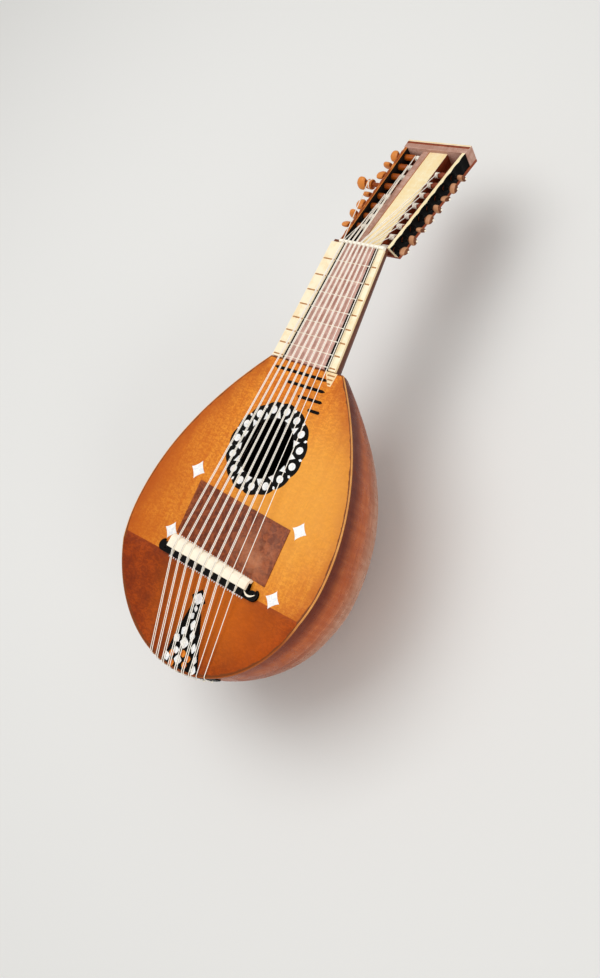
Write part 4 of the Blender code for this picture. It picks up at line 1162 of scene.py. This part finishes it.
# %% Frets
NECK_FRETS = 8
FRET_WIDE, FRET_HIGH, FRET_SUNK = 0.0018, 0.0010, 0.0002
TICK_WIDE, TICK_HIGH = 0.0026, 0.0006
SHORT_FRETS, SHORT_WIDE, SHORT_HIGH = (0.116, 0.083, 0.052, 0.025), 0.0052, 0.0012
SHORT_END, SHORT_END_STEP = 0.055, 0.0042


def fret_y(number):
    """Each fret shortens the string by the twelfth root of two."""
    return SADDLE_Y + STRING_LENGTH * 2 ** (-number / 12)


def fret_bar(first, last, y, base, wide, high):
    """A half-round bar across the board: y = w cos a, z = h sin a, with rounded ends."""
    a = np.linspace(0, math.pi, 10)
    x = np.linspace(first, last, 16)[:, None]
    inwards = np.clip(np.minimum(x - first, last - x) / (wide / 2), 0.02, 1)
    size = np.sqrt(inwards * (2 - inwards))
    points = stacked(x, y + wide / 2 * np.cos(a) * size, base + high * np.sin(a) * size)
    return lattice(points, caps=True, edge=0.5)


bone_frets, ticks = [], []
base = FINGERBOARD_TOP - FRET_SUNK
for number in range(1, NECK_FRETS + 1):
    y = fret_y(number)
    line, side, middle = float(line_half(y)), float(neck_half(y)) - 0.001, float(neck_middle(y))
    bone_frets.append(fret_bar(-line, line, y, base, FRET_WIDE, FRET_HIGH + FRET_SUNK))
    for low, high in ((middle - side, -line - 0.0005), (line + 0.0005, middle + side)):
        ticks.append(fret_bar(low, high, y, base, TICK_WIDE, TICK_HIGH))
piece("bone_frets", bone_frets, [BONE])
piece("border_ticks", ticks, [TICK])
for i, long in enumerate(SHORT_FRETS):
    number = NECK_FRETS + 1 + i
    y = min(fret_y(number), JOINT_Y - FRET_WIDE)
    last = SHORT_END + SHORT_END_STEP * i
    bar = fret_bar(last - long, last, y, 0.0, SHORT_WIDE, GAP + SHORT_HIGH)
    piece(f"short_fret_{number:02d}", [bar], [EBONY], [f"board_fret_{number:02d}"])

# %% The spur past the fingerboard's treble corner
spur = [tile([(0.0420, 0.3494), (0.0665, 0.3494), (0.0640, 0.3270), (0.0580, 0.3270)], -0.0002, 0.0006)]
for k in range(3):
    stripe = rounded_rectangle(0.0150 - 0.0040 * k, 0.0026, 0.0006)
    spur.append(tile(stripe + (0.0565 + 0.0012 * k, 0.3440 - 0.0068 * k), 0.0, 0.0008, finish=1))
piece("treble_spur", spur, [CREAM, TICK])

# %% [markdown]
# ## The nut
#
# The nut is a bar of bone with a notch for every string. Its top line is the string height plus small
# hills between the notches: hill * (1 - sum of narrow bells at the strings).

# %% Notched nut
NUT_HALF, NUT_THICK = 0.046, 0.0052
HILL, NOTCH_HALF, END_FALL = 0.0009, 0.0008, 0.004
middles = course_x(np.arange(COURSES), NUT_BAND)
doubles, singles = middles[:-SINGLES], middles[-SINGLES:]
notches = np.concatenate([doubles - PAIR_AT_NUT, doubles + PAIR_AT_NUT, singles])
x = np.linspace(-NUT_HALF, NUT_HALF, 260)
bells = np.exp(-((x[:, None] - notches) / NOTCH_HALF) ** 2).sum(1)
crown = NUT_TOP + HILL * (1 - np.minimum(bells, 1)) * np.clip((NUT_HALF - np.abs(x)) / END_FALL, 0, 1)
profile = [(0.0, 0.0), (0.0, 0.78), (0.12, 0.96), (0.5, 1.0), (0.88, 0.96), (1.0, 0.78), (1.0, 0.0),
           (0.5, 0.0)]
points = np.stack([stacked(x, NUT_Y + NUT_THICK * across, GAP + (crown - GAP) * up)
                   for across, up in profile], 1)
nut_edge = np.array([0, .3, .8, .4, .8, .3, 0, 0])
piece("notched_nut", [lattice(points, caps=True, edge=nut_edge)], [BONE], ["nut"])

# %% [markdown]
# ## The head
#
# The head bends back behind the nut. It is a box with two long slots: cheeks outside, a spine between
# them, a back below and a block at the end. All its pieces are bars along the head, written in the
# head's own axes and turned into the instrument's with one function.

# %% The head's axes
HEAD_ANGLE = math.radians(15)
HEAD_LENGTH, HEAD_DEPTH, HEAD_ABOVE = 0.236, 0.0270, 0.001
HEAD_NUT_HALF, HEAD_END_HALF = 0.0535, 0.0640
CHEEK, SPINE_HALF, SPINE_RECESS, BACK_WALL, END_WALL = 0.0070, 0.0250, 0.0060, 0.0050, 0.0180
INNER_END = HEAD_LENGTH - END_WALL - GAP
HEAD_EDGE = np.array([0, .6, 1, .5, .5, 1, .6, 0])
COS, SIN = math.cos(HEAD_ANGLE), math.sin(HEAD_ANGLE)


def to_head(points):
    """(x, along, above) of the head: y = end + s cos + n sin, z = rise - s sin + n cos."""
    points = np.asarray(points, dtype=float)
    x, s, n = points[..., 0], points[..., 1], points[..., 2]
    return stacked(x, NECK_END_Y + s * COS + n * SIN, HEAD_ABOVE - s * SIN + n * COS)


def head_half(s):
    """Half the width of the head at that place along it."""
    return HEAD_NUT_HALF + (HEAD_END_HALF - HEAD_NUT_HALF) * s / HEAD_LENGTH


def head_start(n):
    """Where a piece of the head begins at that height, against the end of the neck."""
    return (GAP - n * SIN) / COS


def head_bar(inner, outer, high, low, end, c=0.0008, finish=0, walls=None):
    """A bar with rounded upper edges; inner and outer are functions of the way along the head, and
    walls gives the finishes of its inner and its outer wall."""
    share = np.linspace(0, 1, 90)
    outwards = np.sign(np.mean(outer(share) - inner(share)))
    rows = []
    for side, inset, n in bevel(inner, outer, low, high, c):
        s = head_start(n) + share * (end - head_start(n))
        rows.append(stacked(side(s) + outwards * inset, s, n))
    kinds = np.full(len(rows), finish)
    if walls:
        kinds[[0, 6]] = walls
    return lattice(to_head(np.stack(rows, 1)), caps=True, edge=HEAD_EDGE, finish=kinds)


# %% Cheeks, spine, back and end
PEGS = 8
FIRST_PEG = {1: 0.0095, -1: 0.0440}
PEG_SPACING = {1: 0.0236, -1: 0.0232}
SCALLOP = 0.0016


def peg_place(side, i):
    """The place of a peg along the head."""
    return FIRST_PEG[side] + i * PEG_SPACING[side]


def cheek_edge(side, s):
    """A cheek's outer side, treble for 1 and bass for -1: shallow scallops between its pegs."""
    wave = np.abs(np.sin(math.pi * (s - FIRST_PEG[side]) / PEG_SPACING[side]))
    return side * (head_half(s) - SCALLOP * wave)


def straight(x):
    """A bar's side that keeps its distance from the middle all along the head."""
    return lambda s: 0 * s + x


# Treble cheek: inner wall the slot's red-brown, partly painted shade; outer wall ebony black as painted
# shade of the side turned from the light.
for side, name, finishes, walls in ((1, "treble", [MAPLE, SLOT_RED, EBONY], (1, 2)),
                                    (-1, "bass", [PEG_BROWN, SHADE_BLACK], (1, 0))):
    cheek = head_bar(lambda s: side * (head_half(s) - CHEEK), lambda s: cheek_edge(side, s), 0,
                     -HEAD_DEPTH, INNER_END, walls=walls)
    piece(f"{name}_cheek", [cheek], finishes, [f"pegbox_cheek_{name}"])
LINE_LOW, LINE_HIGH = -0.0128, -0.0112
# The spine's wall on the treble slot is the slot's red-brown, partly painted shade, and its wall on the
# bass slot is near black painted shade.
spine = [head_bar(straight(low), straight(high), -SPINE_RECESS, -HEAD_DEPTH, INNER_END, c, finish, walls)
         for low, high, c, finish, walls in ((LINE_HIGH, SPINE_HALF, 0.0006, 0, (0, 3)),
                                             (LINE_LOW, LINE_HIGH, 0.0002, 1, None),
                                             (-SPINE_HALF, LINE_LOW, 0.0006, 2, (4, 2)))]
piece("lined_spine", spine, [MAPLE, LINE_BROWN, ROSY, SLOT_RED, SHADE_BLACK], ["pegbox_spine"])
back = head_bar(lambda s: -head_half(s), head_half, -HEAD_DEPTH - GAP, -HEAD_DEPTH - GAP - BACK_WALL,
                HEAD_LENGTH)
piece("head_back", [back], [SLOT_RED], ["pegbox_back"])


def end_strip(first, last, finish):
    """A strip of the end block between two places along the head."""
    across = np.linspace(-1, 1, 30)
    rows = [to_head(stacked(across * head_half(s), s, 0.0)) for s in (first, last)]
    upright = to_head(UP) - to_head([0, 0, 0])
    return edged_bar(*rows, -HEAD_DEPTH, 0.0, 0.0005, upright, HEAD_EDGE, finish)


END_START = HEAD_LENGTH - END_WALL
BANDS = (END_START, END_START + 0.0100, END_START + 0.0148, HEAD_LENGTH)
# The last band, cream, is a painted highlight along the top end of the head; the rosy and red-brown
# bands are the end block's own inlay.
end_block = [end_strip(first, last, kind) for kind, (first, last) in enumerate(zip(BANDS, BANDS[1:]))]
piece("banded_end", end_block, [ROSY, SLOT_RED, CREAM], ["pegbox_end_block"])

# %% [markdown]
# ## Pegs and their windings
#
# Sixteen turned pegs cross the slots. A peg is a round shaft, a collar, a thin waist and a flat
# rounded handle with a bone pip. It is a profile carried along its axis, with a width and a thickness
# at each station; between two stations the sizes follow the smooth step t * t * (3 - 2 t). The string
# is a coil on the shaft. Each peg and its coil turn with their own body.

# %% Peg shape
PEG_DROP, PEG_RADIUS, PEG_THICK, PEG_SOCKET = 0.0120, 0.0040, 0.0056, 0.0090
WINDING_RADIUS, WINDING_MARGIN, WINDING_THICK = 0.0050, 0.0015, 0.0006
LONG_PEG, OUTBOARD_AT, OUTBOARD_HALF, DRUM = 4, 0.0260, 0.0040, 0.0090
DRUM_LIP = 0.0010
PEG_TURN_STEP = math.radians(67)
HANDLE_LONG, HANDLE_WIDE, HANDLE_THIN = 0.0130, 0.0084, 0.0040
HANDLE_POWER, HANDLE_MARGIN = 2.3, 0.0020
STEM_LONG, STEM_RADIUS, STEM_THIN = 0.0040, 0.0026, 0.0022
BASS_HANDLE, LONG_HANDLE = 1.15, 1.35
PIP_RADIUS, PIP_LONG = 0.0019, 0.0015
COLLAR = [(0.0006, 0.0066), (0.0024, 0.0066), (0.0032, 0.0046), (0.0040, 0.0052), (0.0048, 0.0034)]
COLLAR_WEAR = 0.0060
SHAFT, WAIST, KNOB, PIP = range(4)


def eased(stations, steps=5):
    """Stations (place, radius, finish) with smooth steps between them."""
    table = np.array(stations, dtype=float)
    t = np.linspace(0, 1, steps, endpoint=False)
    smooth = t * t * (3 - 2 * t)
    low, rise = table[:-1, None], np.diff(table, axis=0)[:, None]
    rows = stacked(low[..., 0] + rise[..., 0] * t, low[..., 1] + rise[..., 1] * smooth, low[..., 2])
    return np.concatenate([rows.reshape(-1, 3), table[-1:]])


def peg_stations(wall, thin_to, size, long):
    """A peg from its tip outwards as rows (place, width, thickness, finish). It is thin as far as its
    string, then thick at the cheek; a long one has a drum between its collar and its handle."""
    tip = SPINE_HALF - PEG_SOCKET + GAP - wall
    rows = [(tip, PEG_RADIUS, SHAFT), (thin_to, PEG_RADIUS, SHAFT), (thin_to + 0.0035, PEG_THICK, SHAFT),
            (0.0, PEG_THICK, WAIST)] + [(place, radius, WAIST) for place, radius in COLLAR]
    if long:
        low, high = OUTBOARD_AT - OUTBOARD_HALF, OUTBOARD_AT + OUTBOARD_HALF
        drum = DRUM - 2 * BASS_STRING
        rows += [(0.0070, 0.0040, WAIST), (low - 0.0030, 0.0040, KNOB), (low, drum + DRUM_LIP, KNOB),
                 (low + DRUM_LIP, drum, KNOB), (high - DRUM_LIP, drum, KNOB),
                 (high, drum + DRUM_LIP, KNOB), (high + 0.0014, 0.0032, WAIST)]
    start, length = rows[-1][0] + STEM_LONG, HANDLE_LONG * size + HANDLE_MARGIN
    rows.append((start, STEM_RADIUS, KNOB))
    u = np.linspace(0.02, 0.98, 15)
    bulge = (1 - np.abs(2 * u - 1) ** HANDLE_POWER) ** (1 / HANDLE_POWER)
    wide = np.maximum(STEM_RADIUS, HANDLE_WIDE * size * bulge)
    thin = np.maximum(STEM_THIN, HANDLE_THIN * size * bulge ** 0.6)
    polar = np.linspace(0.25, math.pi - 0.02, 9)
    pip = stacked(start + length + 0.0012 - PIP_LONG * np.cos(polar), PIP_RADIUS * np.sin(polar), PIP)
    both = [0, 1, 1, 2]
    return np.concatenate([eased(rows)[:, both], stacked(start + u * length, wide, thin, KNOB),
                           pip[:, both]])


# %% One peg
STRING_AT_NUT, STRING_AT_END = 0.0395, 0.0335
# Treble pegs: shafts in the slot's red-brown and collars in ebony black, painted shade of the treble
# slot and side; the bass pegs are boxwood throughout.
TREBLE_PEG, BASS_PEG = [SLOT_RED, EBONY, KNOB_BROWN, BONE], [PEG_BROWN, PEG_BROWN, PEG_BROWN, BONE]


def place_peg(local, side, s, wall, turn):
    """From the peg's own axes (outwards, width, thickness) to the instrument's."""
    out, a, b = local[..., 0], local[..., 1], local[..., 2]
    across = a * math.cos(turn) - b * math.sin(turn)
    above = a * math.sin(turn) + b * math.cos(turn)
    return to_head(stacked(side * (wall + out), s + side * across, above - PEG_DROP))


def coil(first, last, radius, thick):
    """A helix round the peg's axis: one turn for just over two string radii along it."""
    turns = abs(last - first) / (2.05 * thick)
    angle = np.linspace(0, 2 * math.pi * turns, int(turns * 16) + 1)
    along = first + (last - first) * angle / angle[-1]
    start = math.pi / 2 - angle[-1]
    return stacked(along, radius * np.cos(angle + start), radius * np.sin(angle + start))


def string_x(side, i):
    """Where a string comes on to its peg, out from the middle of the head."""
    if side < 0 and i == LONG_PEG:
        return head_half(peg_place(side, i)) + OUTBOARD_AT
    return STRING_AT_NUT + (STRING_AT_END - STRING_AT_NUT) * i / (PEGS - 1)


def make_peg(side, i):
    """A peg with its coil; the string comes on to it at the top, where the coil ends."""
    s = peg_place(side, i)
    wall = float(head_half(s))
    long = side < 0 and i == LONG_PEG
    turn = PEG_TURN_STEP * (i + (0 if side > 0 else 0.5))
    at = string_x(side, i) - wall
    thin_to = SPINE_HALF + 0.0040 - wall if long else at + 0.0012
    size = LONG_HANDLE if long else BASS_HANDLE if side < 0 else 1.0
    places, wide, thin, kinds = peg_stations(wall, thin_to, size, long).T[..., None]
    around = full_turn(20)
    local = stacked(places, wide * np.cos(around), thin * np.sin(around))
    body = lattice(place_peg(local, side, s, wall, turn), caps=True, finish=kinds[:-1].astype(int),
                   edge=np.clip((wide - COLLAR_WEAR) / 0.002, 0, 1))
    name = f"peg_{'treble' if side > 0 else 'bass'}_{i + 1}"
    piece(f"turned_{name}", [body], TREBLE_PEG if side > 0 else BASS_PEG, [name], name,
          crease=50)
    drum = DRUM if long else WINDING_RADIUS
    low = OUTBOARD_AT - OUTBOARD_HALF + 0.0016 if long else SPINE_HALF + WINDING_MARGIN - wall
    wound = tube(coil(low, at, drum - WINDING_THICK, WINDING_THICK), WINDING_THICK, (1.0, 0.0, 0.0), 6)
    wound["points"] = place_peg(wound["points"], side, s, wall, 0.0)
    piece(f"coil_{name}", [wound], [GUT], (), name)


for side in (1, -1):
    for i in range(PEGS):
        make_peg(side, i)

# %% [markdown]
# ## Clasp and hitch pins
#
# Under the tail edge a thin clasp follows the bowl, and nine bone pins hold the strings' ends. The
# clasp is the bowl's own tail surface moved out: y = widest - reach * sqrt(1 - (w / half)^2), where w
# is the width of the superellipse through that point.

# %% Clasp
CLASP_HALF, CLASP_HEIGHT, CLASP_WALL = 0.084, 0.034, 0.0018
CORNER_LIFT = 0.45


def tail_face(x, below, grow):
    """The place along Y of the bowl's tail surface, moved out by grow."""
    wide = (np.abs(x) ** BOWL_POWER + (below * BODY_HALF / BOWL_DEPTH) ** BOWL_POWER) ** (1 / BOWL_POWER)
    share = np.clip(wide / (BODY_HALF + grow), 0, 1)
    return WIDEST_Y - (TAIL_REACH + grow) * np.sqrt(1 - share ** 2)


def tail_point(x, below, grow, off=0.0):
    """A point before the tail surface, that far below the rim."""
    y = tail_face(x, below, grow)
    return stacked(x, y - off, RIM_Z - fold_drop(y) - below)


down = np.array([0, 0.01, 0.04, 0.2, 0.4, 0.6, 0.8, 0.95, 0.99, 1.0]) * CLASP_HEIGHT
rounded = np.array([0.0006, 0.0002, 0, 0, 0, 0, 0, 0, 0.0002, 0.0006])
clasp_edge = np.array([1, 1, .5, 0, 0, 0, 0, .5, 1, 1] + [0] * 10)
x = np.linspace(-CLASP_HALF, CLASP_HALF, 64)[:, None]
depth = down * (1 - CORNER_LIFT * (np.abs(x) / CLASP_HALF) ** 6)
front = tail_point(x, depth, GAP + CLASP_WALL) + rounded[None, :, None] * [0, 1.0, 0]
back = tail_point(x, depth, GAP)[:, ::-1]
piece("tail_clasp", [lattice(np.concatenate([front, back], 1), caps=True, edge=clasp_edge)], [EBONY],
      ["end_clasp"])

# %% Pins
PIN_BELOW, PIN_RADIUS = 0.0150, 0.0011
PIN_PROFILE = [(-0.0010, PIN_RADIUS), (0.0, PIN_RADIUS), (0.0026, 0.0010), (0.0029, 0.0013),
               (0.0032, 0.00145), (0.0034, 0.0011), (0.0035, 0.0001)]
out, radius = np.array(PIN_PROFILE).T[..., None]
around = full_turn(12)
pin = stacked(radius * np.cos(around), -out, radius * np.sin(around))
pin_x = course_x(np.arange(COURSES), TAIL_BAND) + TAIL_SHIFT
pins = [lattice(place + pin, caps=True) for place in tail_point(pin_x, PIN_BELOW, GAP + CLASP_WALL)]
piece("hitch_pins", pins, [BONE])

# %% [markdown]
# ## Strings
#
# Seven double courses and two single ones run from the pegs over the nut, the fingerboard and the
# saddle to the tail, turn down over the edge and loop round a pin. Each leg is a tube along its own
# corners, with every corner rounded; the loop is a half circle in the plane of the clasp. The thin
# strings are drawn a little thicker than their solids, so that they show; the thickest ones already
# reach the solids' outer box and are not.

# %% Courses
TAIL_RISE = 0.0009
SWELL, SWELL_RATE, HAIR = 0.00016, 1.9, 0.00001
CORNER_REACH = 0.003


def leg(radius, peg, x_nut, x_saddle, x_tail):
    """A string's corners from its peg to the level of its pin."""
    side, i = peg
    over = GAP + radius
    drum = DRUM if side < 0 and i == LONG_PEG else WINDING_RADIUS
    start = to_head([side * string_x(side, i), peg_place(side, i), drum + over - PEG_DROP])
    turn = math.tan(BRIDGE_TURN)
    at_saddle = [(x_saddle, SADDLE_Y + x_saddle * turn + y, SADDLE_TOP + over)
                 for y in (SADDLE_WIDE / 2, -SADDLE_WIDE / 2)]
    tail_y = tail_face(x_tail, 0.0, BOARD_OVERHANG)
    edge = (x_tail, tail_y, over + TAIL_RISE - fold_drop(tail_y))
    down = tail_point(x_tail, np.array([0.0, PIN_BELOW]), GAP + CLASP_WALL, 2 * over)
    return np.array([start, (x_nut, NUT_Y + NUT_THICK, NUT_TOP + over), (x_nut, NUT_Y, NUT_TOP + over),
                     *at_saddle, edge, *down])


def make_course(number):
    """Both legs of a course and the loop that joins them round the pin, or one leg and a loop."""
    share = number / (COURSES - 1)
    radius = BASS_STRING + (TREBLE_STRING - BASS_STRING) * share
    middle = [course_x(number, band) for band in (NUT_BAND, SADDLE_BAND, TAIL_BAND)]
    middle[2] += TAIL_SHIFT
    loop = PIN_RADIUS + GAP + radius
    bass_order = [LONG_PEG] + [i for i in range(PEGS) if i != LONG_PEG]
    if number < PEGS // 2:
        pegs = [(-1, bass_order[2 * number]), (-1, bass_order[2 * number + 1])]
    elif number < COURSES - SINGLES:
        inner = 2 * (number - PEGS // 2)
        pegs = [(1, PEGS - 1 - inner), (1, PEGS - 2 - inner)]
    else:
        pegs = [(1, COURSES - 1 - number)]
    spread = np.array([PAIR_AT_NUT, PAIR_AT_SADDLE, loop])
    drawn = radius + min(SWELL, SWELL_RATE * (BASS_STRING - radius) - HAIR)
    patches = []
    for sign, peg in zip((-1, 1), pegs):
        beside = sign * spread if len(pegs) == 2 else spread * [0, 0, -1]
        corners = leg(radius, peg, *(np.array(middle) + beside))
        patches.append(tube(rounded_path(corners, CORNER_REACH), drawn, (1.0, 0.0, 0.0)))
    arc = np.linspace(1, 2, 17) if len(pegs) == 2 else np.linspace(1, 2.6, 28)
    arc = arc * math.pi
    bend = tail_point(middle[2] + loop * np.cos(arc), PIN_BELOW - loop * np.sin(arc), GAP + CLASP_WALL,
                      2 * (GAP + radius))
    patches.append(tube(bend, drawn, (0.0, 1.0, 0.0)))
    piece(f"gut_course_{number + 1}", patches, [GUT], [f"course_{number + 1}"], crease=60)


for number in range(COURSES):
    make_course(number)

# %% [markdown]
# ## Braces and blocks
#
# The braces under the board and the blocks at both ends of the bowl are planed boards. Their solids
# already have the right shape, so they only get a finish: raw spruce, and the neck's stain on the
# block whose rim shows beside the neck.

# %% Raw wood inside
INSIDE = {"soundboard_bar_upper": RAW, "soundboard_bar_middle": RAW, "soundboard_bar_lower": RAW,
          "tail_block": RAW, "neck_block": NECK_WOOD}
for name, finish in INSIDE.items():
    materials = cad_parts[name].data.materials
    materials.clear()
    materials.append(finish)
print("wood on", len(INSIDE), "solids")

# %% [markdown]
# ## The floor
#
# The instrument lies on its bowl on a pale floor, large enough to fill every view.

# %% Floor
FLOOR_HALF = 30.0
floor_mesh = bpy.data.meshes.new("floor")
floor_corners = [(x * FLOOR_HALF, y * FLOOR_HALF, 0) for x, y in ((-1, -1), (1, -1), (1, 1), (-1, 1))]
floor_mesh.from_pydata(floor_corners, [], [(0, 1, 2, 3)])
floor_finish, tree, shader = start("pale_floor", 0.9)
put(tree, shader["Base Color"], paint(232, 232, 230))
floor_mesh.materials.append(floor_finish)
floor = bpy.data.objects.new("floor", floor_mesh)
bpy.context.scene.collection.objects.link(floor)
